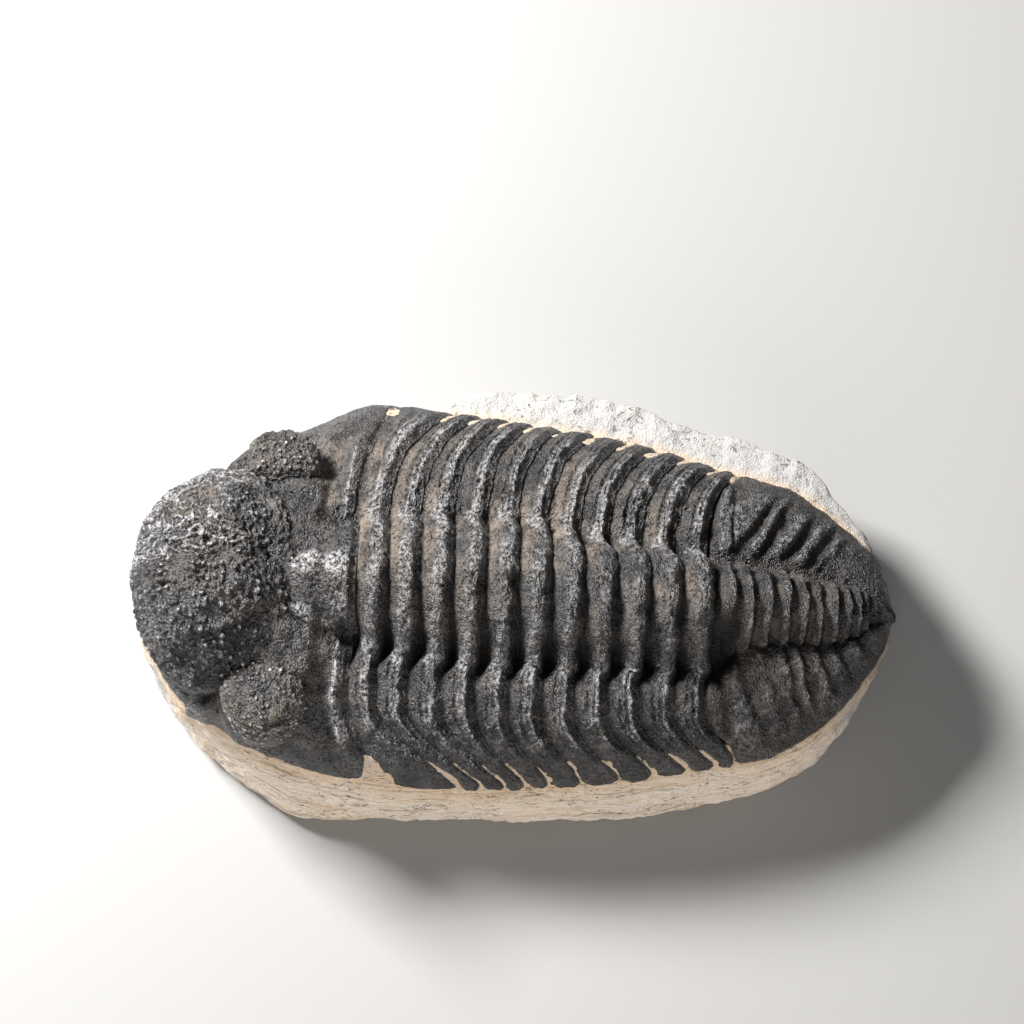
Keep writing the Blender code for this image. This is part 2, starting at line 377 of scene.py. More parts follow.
def install(
    piece: bpy.types.Object, material: bpy.types.Material, slot: str, *nodes: str
) -> bpy.types.Object:
    """Dress a piece, let it ride the fossil's one body and let it stand for its solids.

    Args:
        piece: the piece.
        material: its finish.
        slot: name of the finish's slot, which is only logged.
        nodes: the solids that it replaces.

    Returns:
        The same piece.
    """
    piece.data.materials.append(material)
    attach(piece, "root")
    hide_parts(*nodes)
    log.info("%s: %d faces, %s", piece.name, len(piece.data.polygons), slot)
    return piece


# Materials


class Wire:
    """A shader socket that takes part in sums."""

    def __init__(self, graph: NodeGraph, socket: bpy.types.NodeSocket) -> None:
        """Keep the socket and the graph it is in."""
        self.graph = graph
        self.socket = socket

    def _with(self, operation: str, *values: Any) -> Wire:
        """One Math node on the values given."""
        return self.graph.node("ShaderNodeMath", {"operation": operation}, dict(enumerate(values)))

    def __add__(self, other: Any) -> Wire:
        """Sum."""
        return self._with("ADD", self, other)

    __radd__ = __add__

    def __sub__(self, other: Any) -> Wire:
        """Difference."""
        return self._with("SUBTRACT", self, other)

    def __rsub__(self, other: Any) -> Wire:
        """Difference from a number."""
        return self._with("SUBTRACT", other, self)

    def __mul__(self, other: Any) -> Wire:
        """Product."""
        return self._with("MULTIPLY", self, other)

    __rmul__ = __mul__

    def between(self, low: float, high: float) -> Wire:
        """Eased share of the way from low to high, from 0 to 1."""
        ends = {"Value": self, "From Min": low, "From Max": high}
        return self.graph.node("ShaderNodeMapRange", {"interpolation_type": "SMOOTHSTEP"}, ends)


class NodeGraph:
    """A material's node tree with one Principled shader."""

    def __init__(self, name: str) -> None:
        """Start a material with its default shader."""
        self.material = bpy.data.materials.new(name)
        self.material.use_nodes = True
        self.tree = self.material.node_tree
        self.shader = self.tree.nodes["Principled BSDF"]
        self.place = self.node("ShaderNodeTexCoord", {}, {}, "Object")

    def node(self, kind: str, settings: dict[str, Any], values: dict[Any, Any], output: Any = 0) -> Wire:
        """Add a node, set it up, then fill its sockets.

        Args:
            kind: the node's type.
            settings: its properties, set first.
            values: its inputs by name or number, each a number, a tuple or a Wire.
            output: which output to hand back.

        Returns:
            The output as a Wire.
        """
        made = self.tree.nodes.new(kind)
        for key, value in settings.items():
            setattr(made, key, value)
        for key, value in values.items():
            self.fill(made.inputs[key], value)
        return Wire(self, made.outputs[output])

    def fill(self, socket: bpy.types.NodeSocket, value: Any) -> None:
        """Link a Wire to a socket, or set the socket's own value."""
        if isinstance(value, Wire):
            self.tree.links.new(value.socket, socket)
        else:
            socket.default_value = value

    def attribute(self, name: str) -> Wire:
        """One of the piece's own attributes."""
        return self.node("ShaderNodeAttribute", {"attribute_name": name}, {}, "Fac")

    def noise(self, size: float, detail: float = 3.0, rough: float = 0.55, place: Wire | None = None) -> Wire:
        """Noise whose features are about size millimetres across."""
        values = {"Vector": place or self.place, "Scale": 1 / (size * MM), "Detail": detail,
                  "Roughness": rough}
        return self.node("ShaderNodeTexNoise", {}, values)

    def cells(self, size: float, output: str) -> Wire:
        """Voronoi cells about size millimetres across."""
        values = {"Vector": self.place, "Scale": 1 / (size * MM)}
        return self.node("ShaderNodeTexVoronoi", {}, values, output)

    def blend(self, share: Any, first: Any, second: Any) -> Wire:
        """Mix two colours, from the first at share 0 to the second at share 1."""
        made = self.tree.nodes.new("ShaderNodeMix")
        made.data_type = "RGBA"
        for socket, value in ((made.inputs[0], share), (made.inputs[6], first), (made.inputs[7], second)):
            self.fill(socket, value)
        return Wire(self, made.outputs[2])

    def stretched(self, scale: tuple[float, float, float]) -> Wire:
        """Object coordinates multiplied axis by axis."""
        return self.node("ShaderNodeMapping", {}, {"Vector": self.place, "Scale": scale})

    def bump(self, height: Wire, distance: float, strength: float = 1.0, under: Wire | None = None) -> Wire:
        """A Bump node with its distance in millimetres, over another if given."""
        values: dict[str, Any] = {"Height": height, "Distance": distance * MM, "Strength": strength}
        if under is not None:
            values["Normal"] = under
        return self.node("ShaderNodeBump", {}, values)


@dataclass(frozen=True)
class ShellFinish:
    """Black mineralised shell: satin, finely grained, with tan dust in its hollows.

    Wear is above 0 where the shell is rubbed and where highlights are painted on it, and below 0 where
    painted shade makes it black.
    """

    name: str
    dark: tuple[float, float, float, float] = (0.009, 0.009, 0.0105, 1)
    light: tuple[float, float, float, float] = (0.095, 0.093, 0.093, 1)
    # Colour of rubbed shell, also laid on crests as painted highlights and glints.
    polish_and_highlight: tuple[float, float, float, float] = (0.33, 0.326, 0.33, 1)
    dust: tuple[float, float, float, float] = (0.215, 0.168, 0.128, 1)
    # Near black laid in grooves and hollows: painted shade.
    painted_shade: tuple[float, float, float, float] = (0.005, 0.005, 0.0055, 1)
    grain: float = 0.34  # size of the grains in millimetres
    satin: float = 0.22  # roughness where nothing has worn or dusted it

    def material(self) -> bpy.types.Material:
        """Build the material.

        Returns:
            A material that reads the attributes dust and wear; wear also carries painted highlights and
            painted shade.
        """
        g = NodeGraph(self.name)
        cloud = g.noise(3.5, 4.0)
        fine = g.noise(0.22, 2.0, 0.7)
        mid = g.noise(0.7, 2.0, 0.6)
        grains = g.cells(self.grain, "Distance")
        tone = (cloud * 0.55 + fine * 0.5 + mid * 0.4 - grains * 0.35).between(0.44, 0.8)
        shell = g.blend(tone, self.dark, self.light)
        wear_and_painted_light = g.attribute("wear_and_painted_light")
        # Rubbed shell and painted glints: above 0, wear broken by noise blends towards the highlight colour.
        rubbed_and_glint_share = wear_and_painted_light.between(0.0, 1.0) * (fine * 0.36 + mid * 0.74).between(0.44, 0.70)
        worn = g.blend(rubbed_and_glint_share, shell, self.polish_and_highlight)
        film = g.attribute("dust") * (cloud * 0.4 + fine * 0.35 + mid * 0.4).between(0.42, 0.7)
        # Painted shade: below 0, wear blends towards near black.
        painted_shade_share = (wear_and_painted_light * -1.0).between(0.0, 1.0)
        g.fill(g.shader.inputs["Base Color"], g.blend(painted_shade_share, g.blend(film, worn, self.dust), self.painted_shade))
        g.fill(g.shader.inputs["Roughness"], self.satin + mid * 0.22 + film * 0.4 + painted_shade_share * 0.4)
        pores = g.bump(mid, 0.5, 0.8)
        g.fill(g.shader.inputs["Normal"], g.bump(grains * -1.0 + fine * 0.9, 0.26, 1.0, pores))
        g.shader.inputs["Specular IOR Level"].default_value = 0.52
        return g.material


@dataclass(frozen=True)
class LimestoneFinish:
    """Cream limestone with fine dark grains, tan stains and a warm rim next to the fossil."""

    name: str
    white: tuple[float, float, float, float] = (0.405, 0.4, 0.394, 1)
    cream: tuple[float, float, float, float] = (0.68, 0.61, 0.535, 1)
    warm: tuple[float, float, float, float] = (0.56, 0.41, 0.265, 1)
    brown: tuple[float, float, float, float] = (0.24, 0.185, 0.13, 1)
    speck: tuple[float, float, float, float] = (0.10, 0.092, 0.085, 1)
    sandy: tuple[float, float, float, float] = (0.34, 0.29, 0.23, 1)

    def material(self) -> bpy.types.Material:
        """Build the material.

        Returns:
            A material that reads the attributes halo and sawn.
        """
        g = NodeGraph(self.name)
        patch = g.noise(11.0, 4.0)
        mottle = g.noise(1.6, 4.0, 0.65)
        sand = g.noise(0.3, 2.0, 0.6)
        halo = g.attribute("halo")
        streak = g.noise(2.2, 3.0, 0.6, g.stretched((0.12, 0.12, 2.4)))
        line = g.noise(1.3, 3.0, 0.7, g.stretched((0.1, 0.1, 2.6)))
        sawn = g.attribute("sawn")
        creamy = (patch.between(0.5, 0.75) * 0.4 + sawn * 0.9).between(0.0, 1.0)
        stone = g.blend(creamy, self.white, self.cream)
        stone = g.blend(mottle.between(0.58, 0.74) * 0.35, stone, self.warm)
        stone = g.blend((halo * mottle.between(0.2, 0.6)) * 0.8, stone, self.warm)
        stone = g.blend(sawn * streak.between(0.46, 0.64) * 0.6, stone, self.warm)
        stone = g.blend(sawn * line.between(0.54, 0.66) * 0.7, stone, self.brown)
        blots = g.noise(0.62, 3.0, 0.75, g.stretched((0.6, 0.6, 1.5))).between(0.585, 0.65)
        specks = blots * g.noise(5.0, 2.0).between(0.38, 0.62)
        stone = g.blend(specks * 0.7, stone, self.speck)
        stone = g.blend(sand.between(0.5, 0.72) * 0.4, stone, self.sandy)
        g.fill(g.shader.inputs["Base Color"], stone)
        g.fill(g.shader.inputs["Roughness"], 0.78 + sand * 0.2)
        coarse = g.bump(mottle, 0.35, 0.8)
        g.fill(g.shader.inputs["Normal"], g.bump(sand - specks * 1.2 - line * sawn * 1.5, 0.24, 1.0, coarse))
        g.shader.inputs["Specular IOR Level"].default_value = 0.25
        return g.material


@dataclass(frozen=True)
class FloorFinish:
    """Matt pale table paper with a faint tooth."""

    name: str
    colour: tuple[float, float, float, float] = (0.35, 0.348, 0.346, 1)
    clouded: tuple[float, float, float, float] = (0.33, 0.328, 0.326, 1)

    def material(self) -> bpy.types.Material:
        """Build the material.

        Returns:
            The floor's material.
        """
        g = NodeGraph(self.name)
        tooth = g.noise(0.8, 3.0)
        paper = g.blend(g.noise(60.0, 2.0) * 0.2, self.colour, self.clouded)
        g.fill(g.shader.inputs["Base Color"], paper)
        g.shader.inputs["Roughness"].default_value = 0.62
        g.fill(g.shader.inputs["Normal"], g.bump(tooth, 0.05, 0.3))
        return g.material


# The animal's body plan


@dataclass(frozen=True)
class BodyPlan:
    """Outlines and heights along the body, and the smooth back that all its plates share."""

    left_edge: Curve = Curve((
        (-61, 3), (-57, 12), (-50, 17), (-46.5, 22.4), (-43, 26), (-34, 31), (-24, 35.2), (-15, 34.2),
        (-5, 33.3), (5, 32), (15, 30.6), (25, 28.5), (35, 25.7), (43, 24), (48, 22), (53, 18.2),
        (58, 13.6), (61.5, 9), (62.8, 4.5), (63.4, 1.5),
    ))
    right_edge: Curve = Curve((
        (-61, 7), (-59, 11), (-56, 15.8), (-53.9, 18.2), (-51.1, 20.2), (-48.8, 21.6), (-45, 23.8),
        (-40, 26.1), (-36.7, 27.4), (-33.5, 28.5), (-30.8, 29.2), (-24.5, 30.1), (-15, 30.8), (-5, 30.8),
        (5, 30), (15, 29), (25, 27.2), (35, 25.2), (43, 23.4), (48, 20.8), (53, 17), (58, 11), (61.5, 5.8),
        (62.8, 2.6), (63.4, 0.8),
    ))
    axis_half: Curve = Curve((
        (-61, 2), (-50, 7.5), (-40, 6.8), (-35, 7.2), (-30, 8.8), (-25, 10.2), (-15, 11.1), (-9, 11.6),
        (2, 11.5), (7, 11), (11, 10.6), (17, 10.1), (22, 9.9), (27, 9.5), (33, 8.8), (36.5, 7.4),
        (41, 6.4), (47, 5.6), (53, 4.9), (57.5, 3.4), (60, 2), (63, 0.8),
    ))
    axis_shift: Curve = Curve((
        (-61, 0), (-40, -0.9), (-25, -0.4), (-15, -0.4), (-9, -0.9), (2, -1.1), (7, -1.5), (11, -1.9),
        (17, -2.2), (33, -2.2), (36.5, -1.1), (41, -0.3), (53, -0.2), (63, 0.6),
    ))
    crest: Curve = Curve((
        (-61, 3), (-56, 10), (-48, 16), (-36, 21), (-25, 22.6), (-10, 23.4), (0, 23.4), (10, 22.8),
        (20, 21.4), (30, 19), (38, 16.2), (46, 13), (54, 9.5), (58, 7.4), (61.5, 4.6), (63, 2.8),
    ))
    furrow: Curve = Curve((
        (-61, 2.5), (-56, 7), (-48, 11), (-36, 13.8), (-25, 14.5), (-5, 15), (10, 14.5), (20, 13.5),
        (30, 11.8), (38, 10), (46, 8), (54, 5.9), (58, 5.3), (61.5, 3.9), (63, 2.6),
    ))
    left_swing: Curve = Curve((
        (-6.5, 0.5), (-3, 2.5), (0, 5.1), (1, 9.6), (2, 9.2), (3, 8.4), (4, 7.4), (5, 6.8), (6, 7.4),
        (7, 8), (8, 8.3), (9, 7.8), (10, 7.6), (11, 4.9),
    ))
    right_swing: Curve = Curve((
        (-6.5, 0.5), (-3, 2.5), (-1, 2.6), (0, 5.2), (1, 12), (2, 10.6), (3, 9.3), (4, 7.4), (5, 6.1),
        (6, 6), (7, 7.1), (8, 7.2), (9, 6.9), (10, 6.7), (11, 4.3),
    ))
    right_lead: Curve = Curve(((-2, 0), (-0.5, 0.4), (1, 1.4), (4, 1.3), (11, 1.2)))
    left_bow: Curve = Curve(((-3, 0.4), (0, 0.5), (5, 0.7), (7, 1.2), (8, 1.5), (11, 1.3)))
    lobe_turn: float = math.radians(80)  # how far the lobe's surface has turned down at the edge
    ring_turn: float = math.radians(50)  # how far a ring's arc has turned down at the furrow

    def parts(self, q: Array) -> tuple[Array, Array, Array]:
        """Split stations across the body into its side and its shares of the axis and of the lobe.

        Args:
            q: stations from -1 at the right edge to 1 at the left edge.

        Returns:
            The side as -1 or 1, the share of the axis from 0 to 1 and the share of the lobe from 0 to 1.
        """
        size = np.abs(q)
        inside = np.clip(size / AXIS_SHARE, 0, 1)
        return np.sign(q), inside, np.clip((size - AXIS_SHARE) / (1 - AXIS_SHARE), 0, 1)

    def half_width(self, x: Array, side: Array) -> Array:
        """Half width of the body on each side."""
        return np.where(side > 0, self.left_edge(x), self.right_edge(x))

    def reach(self, out: Array) -> Array:
        """Plan distance from furrow to edge for a share of the lobe: the sine of its turn, scaled to 1."""
        return np.sin(out * self.lobe_turn) / math.sin(self.lobe_turn)

    def back(self, s: Array, q: Array) -> Array:
        """The smooth back: a ring's arc over the axis, and a quarter of an oval for each lobe.

        Args:
            s: place along the body in segments, 0 at the head's seam.
            q: stations across the body.

        Returns:
            Points in millimetres.
        """
        side, inside, out = self.parts(q)
        return self.cross_section(self.along(s, q), side, inside, out)

    def along(self, s: Array, q: Array) -> Array:
        """Place along the body of a line that runs across the axis and swings back on the lobes.

        Args:
            s: place along the midline in segments.
            q: stations across the body.

        Returns:
            Places in millimetres.
        """
        side, inside, out = self.parts(q)
        left = self.left_swing(s) * self.reach(out) ** 2.4 - self.left_bow(s) * inside**4
        lead = self.right_lead(s)
        right = (self.right_swing(s) + lead) * rise(out, 0.34, 0.98) - lead * rise(out, 0.0, 0.13)
        return HEAD_END + s * PITCH + np.where(side > 0, left, right) + self.waver(s, q)

    def waver(self, s: Array, q: Array) -> Array:
        """Small sideways wandering of the lines that run across the body."""
        place = np.stack([s, q * 5.5, 0 * q], -1)
        return 0.3 * value_noise(place, 1.0, 11) + 0.13 * value_noise(place, 0.36, 12)

    def middle(self, x: Array) -> Array:
        """Sideways place of the axis, which leans to the right behind the head."""
        return BODY_Y + self.axis_shift(x)

    def cross_section(self, x: Array, side: Array, inside: Array, out: Array) -> Array:
        """Points of the smooth back at given places along the body.

        Args:
            x: places along the body.
            side: -1 or 1.
            inside: share of the axis.
            out: share of the lobe.

        Returns:
            Points in millimetres.
        """
        half, low = self.axis_half(x), self.furrow(x)
        arc = inside * self.ring_turn
        across = half * np.sin(arc) / math.sin(self.ring_turn)
        across = across + (self.half_width(x, side) - side * self.axis_shift(x) - half) * self.reach(out)
        bend = math.cos(self.lobe_turn)
        lobe = low * (np.cos(out * self.lobe_turn) - bend) / (1 - bend)
        bend = math.cos(self.ring_turn)
        ring = (self.crest(x) - low) * (np.cos(arc) - bend) / (1 - bend)
        hump = 0.6 * bell(out, 0.2, 0.16) * rise(out, 0.0, 0.1)
        return np.stack([x, self.middle(x) + side * across, BED + lobe + ring + hump], -1)

    def height(self, x: Array, y: Array) -> tuple[Array, Array]:
        """Height of the smooth back above the bed at a place in plan.

        Args:
            x: places along the body.
            y: places across it.

        Returns:
            Heights in millimetres, 0 outside the body, and the shares of the lobe.
        """
        side = np.sign(y - self.middle(x))
        half = self.axis_half(x)
        away = np.abs(y - self.middle(x))
        share = np.clip((away - half) / (self.half_width(x, side) - side * self.axis_shift(x) - half), 0, 1)
        turn = np.arcsin(share * math.sin(self.lobe_turn))
        bend = math.cos(self.lobe_turn)
        lobe = self.furrow(x) * (np.cos(turn) - bend) / (1 - bend)
        arc = np.arcsin(np.clip(away / half, 0, 1) * math.sin(self.ring_turn))
        bend = math.cos(self.ring_turn)
        ring = (self.crest(x) - self.furrow(x)) * (np.cos(arc) - bend) / (1 - bend)
        return lobe + ring, turn / self.lobe_turn


def loop_with_underside(top: Array, normal: Array, thickness: float, under: int) -> Array:
    """Close the rows of an upper grid below, each row going back under itself.

    Args:
        top: the upper surface, rings by places along the top by three.
        normal: its smooth normals.
        thickness: how far below the underside lies.
        under: number of places along the underside.

    Returns:
        Rings that run along the top and back along the underside.
    """
    back = np.linspace(top.shape[1] - 1, 0, under).round().astype(int)
    return np.concatenate([top, (top - normal * thickness)[:, back]], axis=1)


def with_underside(values: Array, under: int) -> Array:
    """Values of an upper grid carried on along its underside."""
    back = np.linspace(values.shape[1] - 1, 0, under).round().astype(int)
    return np.concatenate([values, values[:, back]], axis=1)


def plate(
    top: Array, normal: Array, thickness: float, under: int, dust: Array, wear_and_painted_light: Array
) -> tuple[Array, dict[str, Array]]:
    """A plate of shell from its upper surface: its closed rings, and its attributes dust and wear."""
    fields = {"dust": with_underside(dust, under), "wear_and_painted_light": with_underside(wear_and_painted_light, under)}
    return loop_with_underside(top, normal, thickness, under), fields


@dataclass
class ThoracicSegment:
    """One free segment: an axial ring with side nodes and two ribbed lobes that swing back to blunt tips."""

    index: int
    plan: BodyPlan
    stations: int = 560
    along: int = 44
    under: int = 7
    thickness: float = 2.2

    def relief(self, f: Array, q: Array) -> Array:
        """Height above the smooth back: a ring on the axis and two bands with a furrow on each lobe.

        Args:
            f: share of the way from the front seam to the back seam.
            q: stations across the body.

        Returns:
            Heights in millimetres.
        """
        side, inside, out = self.plan.parts(q)
        near = 1 - rise(q, -0.26, 0.22)
        seam = bell(f, 1.0, 0.05) + bell(f, 0.0, 0.05)
        hollow = bell(f, 1.03, 0.17) + bell(f, 0.03, 0.15)
        ring = -0.6 + 1.0 * rise(f, -0.05, 0.42) + 0.35 * bell(f, 0.58, 0.2) - 0.95 * rise(f, 0.7, 1.02)
        ring = ring * (0.85 + 0.5 * near) - 0.4 * seam - 0.12 * bell(f, 0.33, 0.05)
        ring = ring + 0.35 * bell(inside, 0.84, 0.12) * bell(f, 0.55, 0.25)
        deep = np.where(side > 0, 0.7, 0.95)
        band = -deep + deep * 0.85 * rise(f, -0.05, 0.34) + 0.5 * rise(f, 0.3, 0.72)
        band = band - np.where(side > 0, 0.8, 1.0) * rise(f, np.where(side > 0, 0.64, 0.74), 1.0)
        band = band + 0.22 * bell(f, 0.34, 0.07) + 0.26 * (bell(f, 0.53, 0.07) + bell(f, 0.72, 0.07))
        band = band - 0.1 * bell(f, 0.44, 0.05)
        plain = -0.25 + 0.6 * rise(f, 0.0, 0.35) - 0.42 * rise(f, 0.82, 1.0)
        smooth = np.where(side > 0, rise(out, 0.55, 0.95), rise(out, 0.5, 0.76))
        band = band * (1 - smooth) + plain * smooth
        band = band * np.where(side > 0, 1 - 0.45 * bell(out, 0.0, 0.12), 1.0)
        on_lobe = rise(np.abs(q), AXIS_SHARE * 0.95, AXIS_SHARE * 1.08)
        pocket = 1.9 * bell(q, -0.345, 0.075) + 0.5 * bell(q, -0.1, 0.16) + 0.12 * bell(q, 0.35, 0.06)
        saddle = (1.5 * bell(q, -0.36, 0.05) + 0.9 * bell(q, 0.36, 0.045)) * bell(f, 0.52, 0.3)
        return ring * (1 - on_lobe) + band * on_lobe - pocket * hollow + saddle

    def drawn_in(self, f: Array, q: Array, out: Array, rough_place: Array) -> Array:
        """Share of the segment's length at which each row lies, drawn in where a lobe ends in its tip.

        A row's distance from the middle row, at 0.55, is multiplied by what the slit between neighbours
        and the tip's rounding leave. The rounding is a quarter circle of the share of the lobe.

        Args:
            f: share of the way from the front seam to the back seam.
            q: stations across the body.
            out: share of the lobe.
            rough_place: roughly where each point lies, for the jagged edge.

        Returns:
            The shares, before the segment's own number is added.
        """
        tip = rise(out, 0.66, 0.8)
        full = np.where(q > 0, 0.8, 0.972)
        blunt = np.sqrt(np.clip(1 - ((out - full) / (1 - full)).clip(0) ** 2, 0, 1))
        slit = np.where(q > 0, 0.035, 0.06 + 0.03 * math.sin(self.index * 2.3))
        ending = np.where(q > 0, 0.5, 0.3)
        shrink = (1 - slit * tip) * (1 - ending * (1 - blunt))
        jag = 0.05 * value_noise(rough_place * (0.3, 1, 1), 1.3, 300 + self.index)
        jag = jag + 0.06 * value_noise(rough_place * (0.3, 1, 1), 3.1, 330 + self.index)
        placed = np.where(f < 0, f * (1 - tip), f)
        placed = 0.55 + (placed - 0.55 + jag * bell(f, 0.95, 0.3)) * shrink
        if self.index == 0:  # the first left tip nearly meets the head's corner
            placed = placed - 0.2 * rise(out, 0.78, 0.93) * (q > 0) * (1 - f)
        return placed

    def bumps(self, base: Array, lumps: Array) -> Array:
        """Roughness of the shell: patches of grains and crinkles, and two coarser noises."""
        coarse = layered_noise(base * (1.3, 0.8, 1.0), 1.9, COARSE, 2)
        crinkle = 1 - np.abs(layered_noise(base * (1.0, 0.5, 1.0), 0.85, CRINKLE, 2)) * 2
        rough = 0.35 + 1.3 * rise(layered_noise(base, 4.5, 98, 2), -0.35, 0.45)
        grains = (tubercles(base, 0.75, 71) * 0.14 + 0.12 * crinkle) * rough
        return grains + 0.4 * coarse + 0.45 * lumps

    def pits(self, base: Array, upper: Array) -> tuple[Array, Array]:
        """Pits scattered one to a cell, steep at their rims, and the share of them that holds dust."""
        gap, label = nearest_seed(base, 3.4, 120)
        depth = rise(0.18 + 0.42 * label - gap, 0.0, 0.15) * rise(label, 0.2, 0.25) * upper
        return depth, depth * (label > 0.7)

    def dressing(
        self, f: Array, q: Array, relief: Array, lumps: Array, film: Array, upper: Array
    ) -> tuple[Array, Array]:
        """Where dust lies, where the shell is rubbed, and where highlights and shade are painted.

        Dust lies on the front of each ring and near the furrows, most on the lit left side, which paints some
        light there. Wear rises with the height above the smooth back, as rubbing and painted highlight, and
        falls below 0 as painted shade where the surface sinks under it.

        Args:
            f: share of the way from the front seam to the back seam.
            q: stations across the body.
            relief: height above the smooth back.
            lumps: the coarse noise that the plates share.
            film: patches of dust, from 0 to 1.
            upper: 1 on the back, falling to 0 low on the lobes.

        Returns:
            Dust from 0 to about 1, and wear from -1 to 1.
        """
        front = (1 - rise(f, 0.2, 0.5)) * rise(f, 0.0, 0.1)
        # More dust on the lit left side: partly painted light.
        left = 0.15 + 0.85 * rise(q, -0.3, 0.15)
        near_furrow = 0.4 + 0.6 * bell(np.abs(q), AXIS_SHARE * 0.8, 0.2)
        dust = (0.8 * front * near_furrow + 0.22) * film * left * (0.3 + 0.7 * upper)
        # Lower thresholds on the lit far side, so highlights come more easily there: painted highlight.
        low, high = np.where(q > 0.3, 0.0, 0.1), np.where(q > 0.3, 0.5, 0.8)
        crest_wear_and_highlight = rise(relief + 0.4 * lumps, low, high)
        on_ring = 1 - rise(np.abs(q), AXIS_SHARE * 0.9, AXIS_SHARE)
        # Fewer highlights on the rings towards the tail and on their shaded near side: painted shade.
        crest_wear_and_highlight = crest_wear_and_highlight * (1 - on_ring * (0.08 + 0.03 * self.index + 0.35 * rise(-q, -0.15, 0.15)))
        # Black laid in grooves and hollows: painted shade.
        painted_shade_share = np.where(on_ring > 0.5, rise(-relief, 0.35, 1.2), 0.62 * rise(-relief, 0.2, 0.85))
        # A painted highlight along the crest near each segment's back, on the lit upper left.
        edge = 0.6 * bell(f, 0.75, 0.08) * (upper - 0.2) * rise(q, -0.1, 0.3)
        return dust, np.clip(crest_wear_and_highlight * (0.2 + 0.8 * upper) + edge - painted_shade_share, -1, 1)

    def grids(self) -> tuple[Array, dict[str, Array]]:
        """Work out the segment's rings: the smooth back moved along its normals by the relief and the bumps.

        Returns:
            The rings, and the attributes dust and wear.
        """
        q = np.linspace(-1, 1, self.stations)[:, None]
        f = np.concatenate([np.linspace(-0.12, 0.0, 5)[:-1], np.linspace(0.0, 1.0, self.along - 4)])[None, :]
        q, f = np.broadcast_arrays(q, f)
        _, _, out = self.plan.parts(q)
        rough_place = self.plan.back(self.index + f, q)
        placed = self.drawn_in(f, q, out, rough_place)
        base = smoothed(self.plan.back(self.index + placed, q), 12)
        normal = facing_up(smoothed(normals_of(smoothed(rough_place, 26)), 4))
        worn = 0.85 + 0.5 * layered_noise(base * (0.4, 1, 1), 2.8, 60 + self.index, 3)
        relief = self.relief(f, q)
        relief = np.where(relief > 0, relief * worn, relief * (1.15 - 0.3 * worn))
        upper = 1 - rise(out, 0.45, 0.75)
        lumps = layered_noise(base, 3.6, LUMPS, 3)
        pits, dusty = self.pits(base, upper)
        height = relief + self.bumps(base, lumps) * (0.5 + 0.5 * upper) - 0.45 * pits
        top = base + normal * height[..., None]
        film = rise(layered_noise(base, 9.0, 40 + self.index, 2) + 0.5 * lumps, -0.5, 0.35)
        dust, wear_and_painted_light = self.dressing(f, q, relief, lumps, film, upper)
        dust = np.clip(dust + 0.8 * dusty, 0, 1)
        return plate(top, normal, self.thickness, self.under, dust, wear_and_painted_light)

    def build(self, material: bpy.types.Material) -> bpy.types.Object:
        """Make the segment's piece."""
        name = f"segment_{self.index + 1:02d}_shell"
        piece = closed_skin(name, *self.grids())
        return install(piece, material, "fossil_thorax", f"thoracic_segment_{self.index + 1:02d}")


